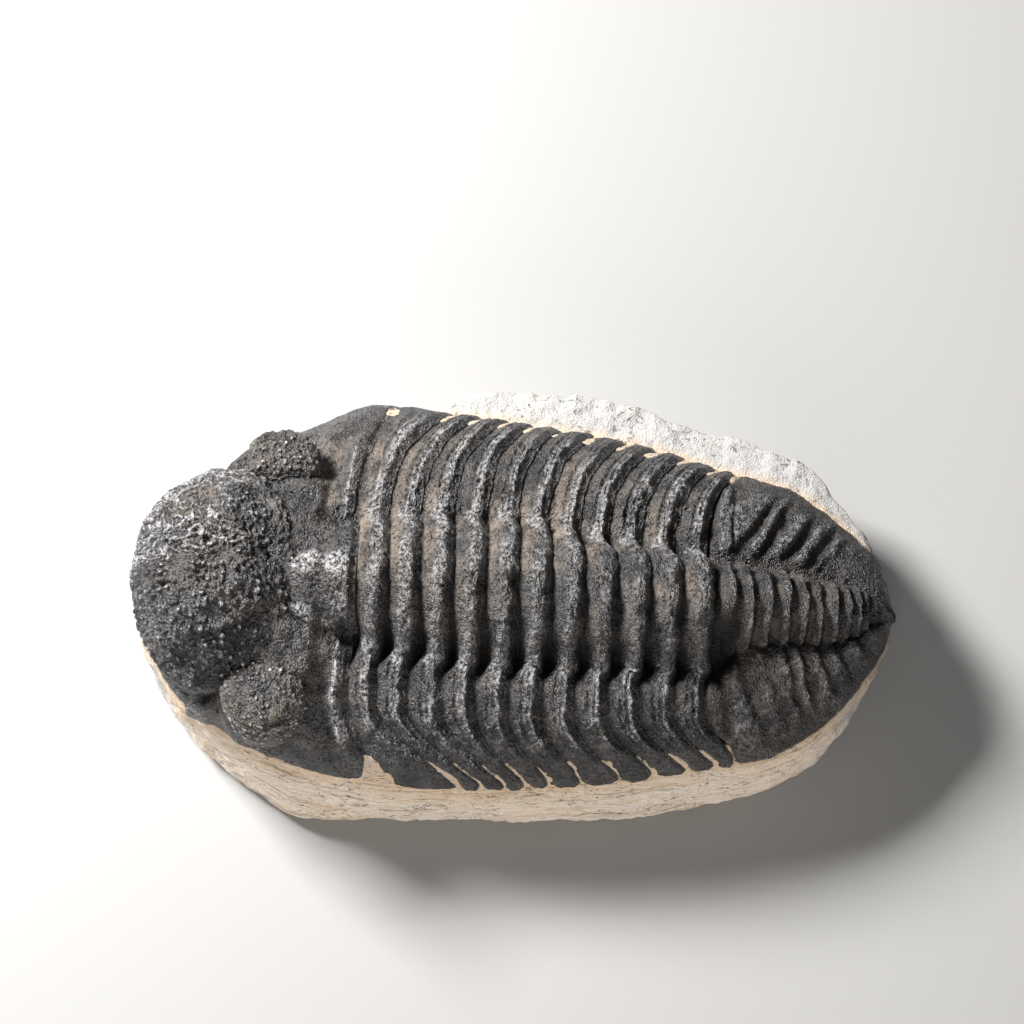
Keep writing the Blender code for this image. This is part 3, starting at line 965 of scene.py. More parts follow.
@dataclass
class HeadShield:
    """Cheeks, their borders, the lobe before the neck and the neck ring."""

    plan: BodyPlan
    rows: int = 210
    across: int = 420
    under: int = 30
    thickness: float = 1.6
    front: float = -6.75  # place of the head's front in segments
    corner: float = 0.4  # how far the head's right rear corner is drawn back, in segments
    strokes: tuple[Stroke, ...] = (
        Stroke(((-29.1, 6.2), (-31.2, 4.6), (-33.5, 3.1), (-35.5, 1.8)), 0.8, -0.6),
        Stroke(((-41.3, 13.3), (-39.2, 13.7), (-32.7, 13.7)), 0.45, -0.55),
        Stroke(((-45.0, 18.6), (-42.3, 16.2), (-39.7, 14.4)), 0.9, -0.7),
        Stroke(((-34.5, 0.0), (-31.0, 1.2), (-27.6, -0.4)), 1.6, 0.7),
        Stroke(((-34.8, -6.0), (-32.5, -7.2)), 1.3, 0.5),
        Stroke(((-30.4, -8.2), (-29.4, -9.4)), 0.8, -0.9),
        Stroke(((-26.6, -8.6), (-26.2, -10.2)), 0.8, -1.5),
        Stroke(((-24.6, -9.6), (-23.6, -10.6)), 0.8, -1.2),
        Stroke(((-46.6, -19.0), (-45.9, -21.6), (-44.4, -23.6), (-42.2, -25.2), (-39.7, -26.2),
                (-36.4, -26.3)), 0.4, 0.5),
        Stroke(((-51.6, -18.9), (-48.8, -20.2)), 1.0, 1.6),
        Stroke(((-46.6, -17.6), (-47.2, -19.6), (-46.9, -21.4)), 0.35, -0.9),
    )

    def skirt(self, base: Array, gap: Array, turn: Array, out: Array) -> Array:
        """Rise of the cheeks to the glabella's rim: the rim's height less a slope that steepens away from it.

        Args:
            base: points of the smooth back.
            gap: plan distance outside the glabella.
            turn: angle around the glabella.
            out: share of the lobe.

        Returns:
            Heights to add, in millimetres.
        """
        rim = Glabella().rim(np.abs(turn))
        skirt = rim + 0.25 - 0.30 * np.clip(gap, 0, None) ** 1.15 - base[..., 2]
        front = np.where(turn < 0, 1.32, 1.9)
        skirt = np.clip(skirt, 0, None) * (1 - rise(np.abs(turn), front, front + 0.35))
        skirt = skirt * (1 - rise(gap, 6, 11))
        skirt = skirt * (1 - rise(out, 0.72, 0.98))
        return smoothed(smoothed(skirt, 6).T, 6).T

    def relief(self, s: Array, q: Array, base: Array, gap: Array, turn: Array) -> Array:
        """Height above the smooth back: the neck ring, the borders behind the cheeks, and the strokes.

        Args:
            s: place along the body in segments.
            q: stations across the body.
            base: points of the smooth back.
            gap: plan distance outside the glabella.
            turn: angle around the glabella.

        Returns:
            Heights in millimetres.
        """
        side, _, out = self.plan.parts(q)
        neck = -0.2 * bell(s, -1.06, 0.14) + 0.3 * rise(s, -0.98, -0.6) - 0.9 * rise(s, -0.2, 0.0)
        lobe = 0.3 * bell(s, -1.5, 0.42)
        inner = 1 - rise(out, np.where(side > 0, 0.35, 0.55), np.where(side > 0, 0.6, 0.85))
        border = (0.8 * tent(s, -0.4, 0.34) - 0.8 * bell(s, -1.0, 0.22)) * inner - 0.6 * rise(s, -0.16, 0.0)
        on_lobe = rise(np.abs(q), AXIS_SHARE * 0.97, AXIS_SHARE * 1.06)
        gutter = 0.3 * bell(np.abs(q), AXIS_SHARE, 0.03)
        relief = (neck + lobe) * (1 - on_lobe) + border * on_lobe - gutter
        relief = relief + sum(stroke(base[..., 0], base[..., 1]) for stroke in self.strokes)
        relief = relief - 1.3 * bell(gap, 0.15, 0.45) * rise(-turn, 1.45, 1.55) * (1 - rise(-turn, 1.95, 2.1))
        return np.where(out > 0.8, np.maximum(relief, -0.1), relief)

    def grids(self) -> tuple[Array, dict[str, Array]]:
        """Work out the shield's rings, which stand across the body from the front to the first seam.

        Returns:
            The rings, and the attributes dust and wear.
        """
        share = np.sin(np.linspace(0, math.pi / 2, self.rows))[:, None]
        q = np.linspace(-1, 1, self.across)[None, :]
        share, q = np.broadcast_arrays(share, q)
        side, _, out = self.plan.parts(q)
        drawn = self.corner * rise(out, 0.6, 0.98) + 0.3 * rise(out, 0.93, 1.0)
        end = 0.02 - np.where(side < 0, drawn, 0.0)
        s = self.front + (end - self.front) * share
        base = smoothed_across(self.plan.back(s, q), 15)
        normal = facing_up(smoothed_across(normals_of(base), 4))
        x, y = base[..., 0], base[..., 1]
        dome = Glabella()
        gap = dome.gap(x, y)
        turn = np.arctan2(y - dome.centre[1], x - dome.centre[0])
        raised = base + np.array([0, 0, 1.0]) * self.skirt(base, gap, turn, out)[..., None]
        relief = self.relief(s, q, base, gap, turn)
        on_lobe = rise(np.abs(q), AXIS_SHARE * 0.97, AXIS_SHARE * 1.06)
        lumps = layered_noise(base, 3.6, LUMPS, 4)
        patch = layered_noise(base, 8.0, 33, 2)
        crinkle = 1 - np.abs(layered_noise(base, 1.0, CRINKLE, 2)) * 2
        upper = 1 - rise(out, 0.55, 0.8)
        grains = tubercles(base, 0.95, 61) * (0.12 + 0.14 * (1 - on_lobe)) + 0.13 * crinkle
        coarse = layered_noise(base, 1.9, COARSE, 2)
        bumps = grains + 0.4 * coarse + 0.65 * lumps
        top = raised + normal * (relief + bumps * (0.3 + 0.7 * upper) + 0.5 * grains * (1 - upper))[..., None]
        # More dust on the lit left side: partly painted light.
        left = 0.35 + 0.65 * rise(q, -0.25, 0.2)
        dust = (0.6 * (1 - rise(relief, -0.8, 0.2)) + 0.3) * rise(patch + 0.4 * lumps, -0.4, 0.45) * left
        dust = np.clip(0.75 * dust * (0.25 + 0.75 * upper), 0, 1)
        # Wear: rubbing and painted highlights on the raised parts.
        wear_and_painted_light = rise(relief + 0.5 * lumps, 0.2, 0.9) * (0.3 + 0.7 * upper)
        return plate(top, normal, self.thickness, self.under, dust, wear_and_painted_light)

    def build(self, material: bpy.types.Material) -> bpy.types.Object:
        """Make the shield's piece."""
        return install(closed_skin("head_shield", *self.grids()), material, "fossil_head", "cephalon")


def polar_outline(outline: tuple[tuple[float, float], ...], centre: tuple[float, float]) -> Curve:
    """Distance of a closed outline from a centre as a smooth periodic curve of the angle.

    Args:
        outline: points once around.
        centre: the point to measure from.

    Returns:
        A curve from angle in radians to distance.
    """
    points = np.array(outline, float) - centre
    angle = np.arctan2(points[:, 1], points[:, 0])
    order = np.argsort(angle)
    angle, reach = angle[order], np.hypot(*points[order].T)
    angle = np.concatenate([angle - 2 * math.pi, angle, angle + 2 * math.pi])
    return Curve(tuple(zip(angle.tolist(), np.tile(reach, 3).tolist())))


@dataclass
class Glabella:
    """The swollen middle of the head, which overhangs its front and is covered in tubercles."""

    rings: int = 270
    around: int = 350
    centre: tuple[float, float] = (-48.6, -0.6)
    outline: tuple[tuple[float, float], ...] = (
        (-61.5, 0.8), (-60.8, 5.8), (-59.3, 9.6), (-57.1, 12.9), (-54.2, 15.7), (-51.8, 17.3),
        (-48.5, 18.4), (-44.5, 18), (-41.4, 15.9), (-39.3, 13.6), (-36.9, 9.2), (-35.7, 3), (-35.5, -4.3),
        (-35.8, -8.4), (-37.9, -11.8), (-41.4, -14.6), (-45.4, -17.9), (-49.6, -18.7), (-53.2, -17.6),
        (-56.4, -14.8), (-58.8, -11.3), (-60.7, -7.5), (-61.4, -3.4),
    )
    rim: Curve = Curve((
        (0.0, 38.0), (0.5, 37.6), (0.9, 35.6), (1.3, 31.5), (1.8, 28.6), (2.4, 28.0), (3.2, 28.4),
    ))
    top: float = 42.3  # height of the crown
    bottom: float = 19.4

    strokes: tuple[Stroke, ...] = (
        Stroke(((-55.6, -4.5), (-53.0, -4.6)), 0.4, -0.8),
        Stroke(((-51.1, -11.5), (-45.9, -10.0), (-42.0, -8.1), (-39.6, -6.2)), 0.6, 0.4),
        Stroke(((-51.6, -13.2), (-46.3, -11.6), (-42.3, -9.6), (-39.2, -7.8)), 0.8, -0.2),
        Stroke(((-50.9, -15.7), (-47.0, -14.4), (-44.3, -12.9)), 0.6, 0.4),
        Stroke(((-39.2, 2.6), (-38.3, 1.2)), 0.8, -0.9),
        Stroke(((-52.5, 7.9), (-46.0, 8.6)), 1.4, 0.5),
        Stroke(((-49.0, 3.0), (-42.0, 5.0)), 1.0, -0.5),
    )

    def reach(self, turn: Array) -> Array:
        """Plan distance from the centre to the outline at an angle."""
        return polar_outline(self.outline, self.centre)(turn)

    def gap(self, x: Array, y: Array) -> Array:
        """Plan distance outside the outline, along the line from the centre."""
        dx, dy = x - self.centre[0], y - self.centre[1]
        return np.hypot(dx, dy) - self.reach(np.arctan2(dy, dx))

    def grids(self) -> tuple[Array, dict[str, Array]]:
        """Work out the dome: its plan outline times the cosine of a rising angle, its height by the sine.

        Returns:
            The rings, and the attributes dust and wear.
        """
        share = np.linspace(0, 1, self.rings)[:, None]
        lift = -math.pi / 2 + math.pi * share**0.8
        turn = np.linspace(-math.pi, math.pi, self.around, endpoint=False)[None, :]
        lift, turn = np.broadcast_arrays(lift, turn)
        reach = self.reach(turn)
        rim = self.rim(np.abs(turn))
        flat = np.abs(np.cos(lift)) ** 0.85
        sine = np.sin(lift)
        behind = 1 - rise(np.abs(turn), 1.2, 2.2)
        curved = np.abs(sine) * (1 - behind) + (1 - flat**2.2) * behind
        above = rim + (self.top - rim) * curved
        below = rim - (rim - self.bottom) * np.abs(sine) ** 0.9
        x = self.centre[0] + reach * flat * np.cos(turn)
        y = self.centre[1] + reach * flat * np.sin(turn)
        base = np.stack([x, y, np.where(sine > 0, above, below)], -1)
        normal = ring_normals(base, (*self.centre, 30.0))
        lumps = layered_noise(base, 6.0, 21, 3)
        drift = np.stack([value_noise(base, 3.0, 51 + k) for k in range(3)], -1)
        bent = base * (0.55, 1.0, 0.8) + 0.9 * drift
        crinkle = 1 - np.abs(layered_noise(bent, 0.85, 55, 3)) * 2.4
        knobs = tubercles(base, 1.1, 5, 0.5)
        small = tubercles(base, 0.65, 9, 0.52)
        lean = 0.03 * (y - self.centre[1]) - 0.02 * (x - self.centre[0])
        creased = rise(layered_noise(base, 9.0, 29, 2) + lean, -0.3, 0.2)
        knobbed = 0.8 * knobs + 0.26 * small
        wrinkled = 0.6 * crinkle + 0.26 * small
        strokes = sum(stroke(x, y) for stroke in self.strokes) * (sine > 0)
        step = 0.5 * rise(layered_noise(base, 7.0, 88, 2), -0.1, 0.15)
        coarse = layered_noise(base * (0.7, 1.1, 1.0), 2.2, 67, 2)
        rough = knobbed * (1 - creased) + wrinkled * creased + 0.8 * lumps + 0.4 * coarse + step + strokes
        top = base + normal * (rough * (0.5 + 0.5 * rise(sine, 0.0, 0.35)))[..., None]
        low = 1 - rise(knobs * (1 - creased) + crinkle * creased, 0.0, 0.7)
        lit = rise(y + 0.4 * (x - self.centre[0]), -12, 10)
        # Dust, laid most on the lit upper left: partly painted light.
        dust = np.clip((0.35 * low + 0.25) * rise(layered_noise(base, 6.0, 35, 2), -0.3, 0.5) * lit, 0, 1)
        # Wear: painted glints on the tops of knobs and wrinkles, with some rubbing.
        wear_and_painted_light = rise(knobs * (1 - creased) + crinkle * creased, 0.45, 0.95) * 0.9
        return top, {"dust": dust, "wear_and_painted_light": wear_and_painted_light}

    def build(self, material: bpy.types.Material) -> bpy.types.Object:
        """Make the glabella's piece."""
        return install(closed_skin("glabella_dome", *self.grids()), material, "fossil_head", "cephalon")


class Side(Enum):
    """The animal's left and right."""

    LEFT = 1
    RIGHT = -1


def honeycomb_gap(u: Array, w: Array, pitch: float) -> Array:
    """Distance to the nearest point of a honeycomb of points, the nearer of two offset rectangular sets.

    Args:
        u: places along the rows.
        w: places across them.
        pitch: distance between neighbouring points.

    Returns:
        The distances.
    """
    tall = pitch * math.sqrt(3)
    gaps = []
    for offset in (0.0, 0.5):
        du = (u / pitch + offset + 0.5) % 1 - 0.5
        dw = (w / tall + offset + 0.5) % 1 - 0.5
        gaps.append(np.hypot(du * pitch, dw * tall))
    return np.minimum(*gaps)


@dataclass
class Eye:
    """A tall eye: a steep wall of lenses on its outer side under a swollen lid."""

    side: Side
    centre: tuple[float, float]
    half_length: float = 6.5
    half_width: float = 5.4
    inner: float = 0.8  # share of the half width on the side towards the glabella
    turned: float = 0.0  # of the eye's length from the body's, in radians
    top: float = 35.0
    rings: int = 150
    around: int = 220
    lens_pitch: float = 1.45
    profile_width: Curve = Curve((
        (0, 0), (0.04, 1.1), (0.25, 1.02), (0.45, 0.95), (0.56, 0.98), (0.63, 1.0), (0.72, 0.92), (0.82, 0.7),
        (0.92, 0.36), (1, 0),
    ))
    profile_drop: Curve = Curve((
        (0, 14), (0.04, 14), (0.25, 8.8), (0.45, 4.8), (0.56, 2.9), (0.63, 2), (0.72, 1.05), (0.82, 0.4),
        (0.92, 0.08), (1, 0),
    ))

    def grids(self) -> tuple[Array, dict[str, Array]]:
        """Work out the eye: an oval plan, carried up a wall and over a domed lid.

        Returns:
            The rings, and the attributes dust and wear.
        """
        share = np.linspace(0, 1, self.rings)[:, None]
        turn = np.linspace(-math.pi, math.pi, self.around, endpoint=False)[None, :]
        share, turn = np.broadcast_arrays(share, turn)
        width, drop = self.profile_width(share), self.profile_drop(share)
        outward = np.sin(turn) * self.side.value
        plan_width = self.half_width * np.where(outward > 0, 1.0, self.inner)
        u = self.half_length * np.cos(turn) * width
        v = plan_width * np.sin(turn) * width
        c, s = math.cos(self.turned), math.sin(self.turned)
        x, y = self.centre[0] + c * u - s * v, self.centre[1] + s * u + c * v
        z = self.top - drop - 0.10 * np.abs(v) * rise(outward, 0.0, 0.8) - 0.03 * (u**2) * 0.6
        base = np.stack([x, y, z], -1)
        normal = ring_normals(base, (*self.centre, self.top - 6))
        arc = turn * (self.half_length + self.half_width) / 2
        on_wall = rise(outward, 0.05, 0.35) * rise(share, 0.18, 0.24) * (1 - rise(share, 0.6, 0.66))
        lens = np.clip(1 - (honeycomb_gap(arc, drop, self.lens_pitch) / (0.48 * self.lens_pitch)) ** 2, 0, 1)
        knobs = tubercles(base, 0.85, 14, 0.52)
        lumps = layered_noise(base, 3.4, 24, 4)
        rough = 0.35 * lens * on_wall + 0.42 * knobs * rise(share, 0.2, 0.4) + 0.9 * lumps
        groove = 0.5 * bell(share, 0.655, 0.025) * rise(outward, -0.1, 0.3)
        top = base + normal * (rough - groove)[..., None]
        low = np.where(on_wall > 0.5, lens, knobs)
        dust = np.clip(0.7 * (1 - rise(low, 0.05, 0.6)) * (0.5 + lumps), 0, 1)
        # Wear: painted highlights on the tops of lenses and knobs, with some rubbing.
        return top, {"dust": dust, "wear_and_painted_light": rise(low, 0.4, 0.95)}

    def build(self, material: bpy.types.Material) -> bpy.types.Object:
        """Make the eye's piece."""
        name = f"{self.side.name.lower()}_eye"
        return install(closed_skin(name, *self.grids()), material, "fossil_head", "cephalon")


@dataclass
class TailShield:
    """The pygidium: a tapering ringed axis between two lobes with ribs that fade into a smooth border."""

    plan: BodyPlan
    rows: int = 230
    across: int = 360
    under: int = 24
    thickness: float = 1.4
    tip: tuple[float, float] = (63.7, 1.2)
    ring_count: Curve = Curve((
        (33.3, 0), (36.4, 1), (39.3, 2), (42.6, 3), (45.6, 4), (48.3, 5), (51.0, 6), (53.5, 7), (55.6, 8),
        (57.6, 9), (62, 12),
    ))
    left_ribs: Curve = Curve(((31, 0), (34.8, 1), (39.1, 2), (42.7, 3), (46.8, 4), (50.5, 5), (60, 8)))
    right_ribs: Curve = Curve(((33, 0), (36.5, 1), (40.6, 2), (44.2, 3), (46.7, 4), (49.8, 5), (60, 8)))
    left_sweep: Curve = Curve(((30, 0.1), (34, 0.5), (36, 0.6), (39, 0.46), (43, 0.59), (47, 0.56)))
    right_sweep: Curve = Curve(((33, 0.2), (37, 0.34), (47, 0.33), (50, 0.5)))
    right_cuts: Curve = Curve(((36.5, 1.0), (38.5, 0.4), (41, 0.4), (43.5, 0.9), (50, 0.8)))
    line: Stroke = Stroke(((35.7, 9.0), (35.8, 14.5), (36.2, 17.8)), 0.28, -0.55)

    def ring_relief(self, x: Array, q: Array, wander: Array, fade: Array) -> Array:
        """Rings of the axis: each rises to a crest near its back and drops to a groove, fading to the tip.

        Args:
            x: places along the body.
            q: stations across the body.
            wander: small shifts of the rings and ribs along the body.
            fade: 1 along the axis, falling to 0 at the tip.

        Returns:
            Heights in millimetres.
        """
        side, inside, _ = self.plan.parts(q)
        ring = self.ring_count(x + wander + np.where(side > 0, 0.7, 0.4) * inside**3) - 0.08
        groove = bell((ring + 0.5) % 1 - 0.5, 0.02, 0.22)
        lean = ring % 1
        crest = rise(lean, 0.0, 0.6) * (1 - rise(lean, 0.68, 0.98))
        rings = (1.0 * crest + 0.2 * tent(lean, 0.68, 0.16) - 0.35 - 0.5 * groove) * (0.2 + 0.8 * fade)
        return rings * (1 + 0.4 * rise(-q, 0.02, 0.2))

    def rib_relief(self, x: Array, q: Array, base: Array, wander: Array) -> Array:
        """Ribs of the lobes, swept back: the count of ribs is read where each rib's line meets the furrow.

        Args:
            x: places along the body.
            q: stations across the body.
            base: points of the smooth back.
            wander: small shifts of the rings and ribs along the body.

        Returns:
            Heights in millimetres.
        """
        side, _, out = self.plan.parts(q)
        lateral = np.maximum(np.abs(base[..., 1] - self.plan.middle(x)) - self.plan.axis_half(x), 0)
        guess = x - np.where(side > 0, 0.5, 0.33) * lateral
        left = x + wander - self.left_sweep(guess) * lateral
        right = x + wander - self.right_sweep(guess) * lateral
        rib = np.where(side > 0, self.left_ribs(left), self.right_ribs(right))
        left_cuts = rise(lateral, 0.6, 3.6) * (1 - rise(left, 48.5, 51))
        strength = np.where(side > 0, left_cuts, self.right_cuts(right))
        strength = strength * (1 - rise(out, 0.4, 0.76)) * (0.85 + 0.6 * value_noise(base, 4.0, 350))
        rib = (rib - 0.18) % 1
        ridge = np.where(side > 0, 1.35, 1.0) * rise(rib, 0.0, 0.5) * (1 - rise(rib, 0.6, 0.97))
        return (ridge - 0.5) * strength

    def grids(self) -> tuple[Array, dict[str, Array]]:
        """Work out the tail's rings, which stand across the body from the last seam to the tip.

        Returns:
            The rings, and the attributes dust and wear.
        """
        along = np.sin(np.linspace(0, math.pi / 2, self.rows))[:, None]
        q = np.linspace(-1, 1, self.across)[None, :]
        along, q = np.broadcast_arrays(along, q)
        side, inside, out = self.plan.parts(q)
        start = self.plan.along(SEGMENTS - 0.1 + 0 * q, q)
        x = start + (self.tip[0] - start) * along
        base = self.plan.cross_section(x, side, inside, out)
        closing = np.sqrt(np.clip(1 - along**40, 0, 1))
        base[..., 1] = BODY_Y + (base[..., 1] - BODY_Y) * closing + (self.tip[1] - BODY_Y) * along**3
        base[..., 2] = BED - 1 + (base[..., 2] - BED + 1) * closing
        base = smoothed_across(base, 8)
        normal = facing_up(smoothed_across(normals_of(base), 3))
        wander = 0.35 * value_noise(base, 2.6, 340) + 0.15 * value_noise(base, 1.2, 341)
        fade = 1 - rise(x, 56.5, 60.0)
        rings = self.ring_relief(x, q, wander, fade)
        ribs = self.rib_relief(x, q, base, wander)
        on_lobe = rise(np.abs(q), AXIS_SHARE * 0.96, AXIS_SHARE * 1.06)
        gutter = 0.35 * bell(np.abs(q), AXIS_SHARE, 0.03) * fade
        pocket = bell(q, -0.26, 0.14) * (1 - rise(x - start, 2.5, 5.6))
        gutter = gutter + 5.0 * pocket
        front = -1.3 * (1 - rise(x - start, 0.3, 1.5)) - 0.6 * bell(x - start, 0, 0.4)
        relief = rings * (1 - on_lobe) + ribs * on_lobe - gutter + front
        relief = relief + self.line(x, base[..., 1])
        relief = relief * (1 - rise(along, 0.9, 1.0))
        lumps = layered_noise(base, 3.2, 92, 4)
        patch = layered_noise(base, 8.0, 47, 2)
        relief = relief * (0.8 + 0.5 * layered_noise(base, 3.0, 93, 2))
        grains = tubercles(base, 0.85, 71) * 0.09 + tubercles(base, 0.6, 77) * 0.05
        coarse = layered_noise(base, 1.8, COARSE, 2)
        uneven = 0.4 + 0.4 * rise(-q, 0.3, 0.5) * (1 - rise(out, 0.6, 0.9))
        top = base + normal * (relief + grains + 0.3 * coarse + uneven * lumps)[..., None]
        dust = np.clip(0.8 * (1 - rise(relief, -0.8, 0.3)) + 0.35 * rise(patch, -0.1, 0.6), 0, 1) * 0.8
        # Dust kept out of the pocket, so it stays black: painted shade.
        dust = dust * (1 - np.clip(pocket * 1.5, 0, 1))
        # Wear: rubbing and painted highlights on crests and on the near lobes.
        wear_and_painted_light = rise(relief + 0.5 * lumps + np.where(q < 0, 0.35, 0.2) * on_lobe, 0.15, 0.75)
        # Fewer highlights towards the tip and black in hollows: painted shade.
        wear_and_painted_light = wear_and_painted_light * (1 - 0.8 * rise(x, 53, 60)) * (0.7 + 0.3 * on_lobe) - rise(-relief, 0.3, 1.1)
        # Less dust towards the tip, so it darkens: painted shade.
        dust = dust * (1 - 0.7 * rise(x, 50, 57))
        thinned = normal * (1 - 0.85 * rise(along, 0.9, 1.0))[..., None]
        return plate(top, thinned, self.thickness, self.under, dust, wear_and_painted_light)

    def build(self, material: bpy.types.Material) -> bpy.types.Object:
        """Make the tail's piece."""
        return install(closed_skin("tail_shield", *self.grids()), material, "fossil_tail", "pygidium")


@dataclass
class MatrixStone:
    """The limestone: a broken block with a flat underside, a ledge and a bed that rises under the shell."""

    plan: BodyPlan
    around: int = 940
    centre: tuple[float, float] = (0.0, 1.0)
    left_ledge: Curve = Curve((
        (-61, 0.7), (-22, 0.5), (-17, 0.8), (-14.2, 1.9), (-10.8, 3.8), (-5.8, 5.8), (0, 6.9), (7, 7.4),
        (10, 8.3), (14, 7.8), (20, 8.1), (25.5, 7), (30.5, 7.1), (37, 7.6), (40, 7.2), (43.3, 6.4),
        (49.3, 7), (52.7, 6.4), (55, 5), (57.5, 4.5), (59.5, 3.4), (60.8, 1.7), (62, 0.4), (63, 0),
    ))
    right_ledge: Curve = Curve((
        (-61, 0.5), (-30, 1), (-10, 0.9), (20, 1), (40, 1.2), (53, 1.8), (58, 1.2), (61, 0.2), (63, 0),
    ))
    foot: tuple[tuple[float, float], ...] = (
        (-61.6, -6), (-60, -11.4), (-57.3, -15.9), (-54.9, -18.9), (-52.1, -21.9), (-49.3, -24.2),
        (-45.7, -27.2), (-43, -29.1), (-39.5, -31.4), (-36, -32.9), (-32, -33.5), (-25.8, -33.3),
        (-14, -32.9), (2.8, -32.3), (16.3, -31.4), (24.7, -30.5), (33.1, -28.4), (39.8, -26.7),
        (46.5, -23.9), (51.5, -20.2), (56.5, -14.7), (59.9, -9.3), (61.4, -4), (61.6, 3), (60, 11),
        (56, 19), (47, 26.4), (36, 30.6), (22, 34), (6, 36.4), (-8, 35), (-22, 31), (-34, 27.6), (-44, 22),
        (-52, 15), (-58.5, 7), (-61, -1),
    )

    def outline(self, ledge: float) -> tuple[tuple[float, float], ...]:
        """Body edge in plan, moved out by a share of the ledge's width.

        Args:
            ledge: 0 for the body's edge, 1 for the stone's rim.

        Returns:
            Points once around.
        """
        x = np.linspace(-60.9, 62.9, 70)
        left = BODY_Y + self.plan.left_edge(x) + ledge * self.left_ledge(x)
        right = BODY_Y - self.plan.right_edge(x) - ledge * self.right_ledge(x)
        ends = x - 0.9 * ledge * rise(-x, 50, 61)
        return tuple(zip(np.tile(ends, 2).tolist(), np.concatenate([left, right]).tolist()))

    def profile(self, edge: Array, rim: Array, foot: Array) -> Array:
        """Rows of the stone: along the underside, up the wall, in over the ledge and across the bed.

        The wall's distance from the centre runs from foot to rim by the height's share to the power 1.3,
        with a small round at its foot and at its rim.

        Args:
            edge: distance from the centre to the shell's edge, around.
            rim: distance to the stone's rim.
            foot: distance to the foot of the wall.

        Returns:
            Distance and height, rows by places around by two.
        """
        under = np.array([0.0, 0.5, 0.9, 0.97])[:, None] * (foot - 1.5)
        rows = [np.stack([under, 0 * under], -1)]
        up = np.linspace(0, 1, 58)[:, None]
        wall = foot + (rim - foot) * up**1.3 - 1.5 * (1 - up) ** 12 - 0.6 * up**14
        rows.append(np.stack(np.broadcast_arrays(wall, (BED - 1.2) * up), -1))
        over = np.linspace(0, 1, 27)[1:, None]
        ledge = rim - 0.6 + (edge - rim + 0.6) * over
        rows.append(np.stack(np.broadcast_arrays(ledge, BED - 1.2 + 1.2 * over**0.7), -1))
        shares = np.concatenate([np.linspace(1.0, 0.86, 14)[1:], [0.7, 0.45, 0.2, 0.0]])[:, None]
        inner = edge * shares
        rows.append(np.stack([inner, BED + 0 * inner], -1))
        return np.concatenate(rows)

    def rock(self, x: Array, y: Array, inside: Array) -> Array:
        """Height of the rock above the bed: the smooth back less a depth that is least at the shell's edge.

        Args:
            x: places along the body.
            y: places across it.
            inside: whether a place is within the shell's edge.

        Returns:
            Heights in millimetres.
        """
        back, out = self.plan.height(x, y)
        free_tips = rise(x, -30, -26) * (1 - rise(x, 36, 39))
        depth = 3.2 - 2.95 * rise(out, 0.6, 0.72) * free_tips - 2.6 * rise(out, 0.84, 0.97) * (1 - free_tips)
        under_brow = (1 - rise(x, -58, -53)) * inside
        depth = depth * (1 - under_brow) + 1.25 * under_brow
        return np.maximum(back - depth, -0.1) * np.maximum(rise(out, 0.5, 0.62), under_brow)

    def grids(self) -> tuple[Array, dict[str, Array]]:
        """Work out the stone's rings: its profile turned about the centre, then roughened.

        Returns:
            The rings, and the attributes halo and sawn.
        """
        turn = np.linspace(-math.pi, math.pi, self.around, endpoint=False)
        edge = polar_outline(self.outline(0.0), self.centre)(turn)
        rim = polar_outline(self.outline(1.0), self.centre)(turn)
        foot = polar_outline(self.foot, self.centre)(turn)
        rim, foot = smoothed(rim, 6, True), smoothed(foot, 6, True)
        profile = self.profile(edge, rim, foot)
        reach, z = profile[..., 0], profile[..., 1]
        x = self.centre[0] + reach * np.cos(turn)
        y = self.centre[1] + reach * np.sin(turn)
        inside = reach < edge - 0.01
        z = np.where(inside & (z > BED - 1), BED + self.rock(x, y, inside), z)
        base = np.stack([x, y, z], -1)
        on_wall = rise(z, 0.0, 1.0) * (1 - inside)
        gap = reach - edge
        free = rise(gap, 0.0, 1.5)
        coarse = layered_noise(base, 9.0, 200, 3)
        chips = nearest_seed(base * (1, 1, 1.4), 6.0, 210)[1] - 0.5
        fine = layered_noise(base, 2.2, 220, 3)
        saw = np.sin(z * 5.2 + 3.0 * value_noise(base, 14.0, 230)) * 0.11
        front = rise(-y, 12.0, 22.0) * on_wall
        outward = np.stack([np.cos(turn) + 0 * z, np.sin(turn) + 0 * z, 0 * z], -1)
        push = on_wall * (0.6 * coarse + 0.3 * chips * (1 - front) + 0.4 * fine + saw * front)
        push = push * rise(BED - z, -0.4, 3.0) + 0.15 * fine * free
        lift = rise(z, 10, 16) * free * (0.45 * coarse + 0.17 * fine) + 0.15 * fine * rise(z, 15, 17)
        top = base + outward * push[..., None]
        top[..., 2] += lift * np.where(inside, 0.3, 1.0)
        top[..., 2] = np.where(base[..., 2] <= 0, 0.0, np.maximum(top[..., 2], 0.05))
        halo = bell(np.clip(gap, 0, None), 0, 1.3) * rise(z, 6, 17)
        return top, {"halo": halo, "sawn": front}

    def build(self, material: bpy.types.Material) -> bpy.types.Object:
        """Make the stone's piece."""
        return install(closed_skin("limestone_block", *self.grids()), material, "limestone", "matrix_stone")


# The studio


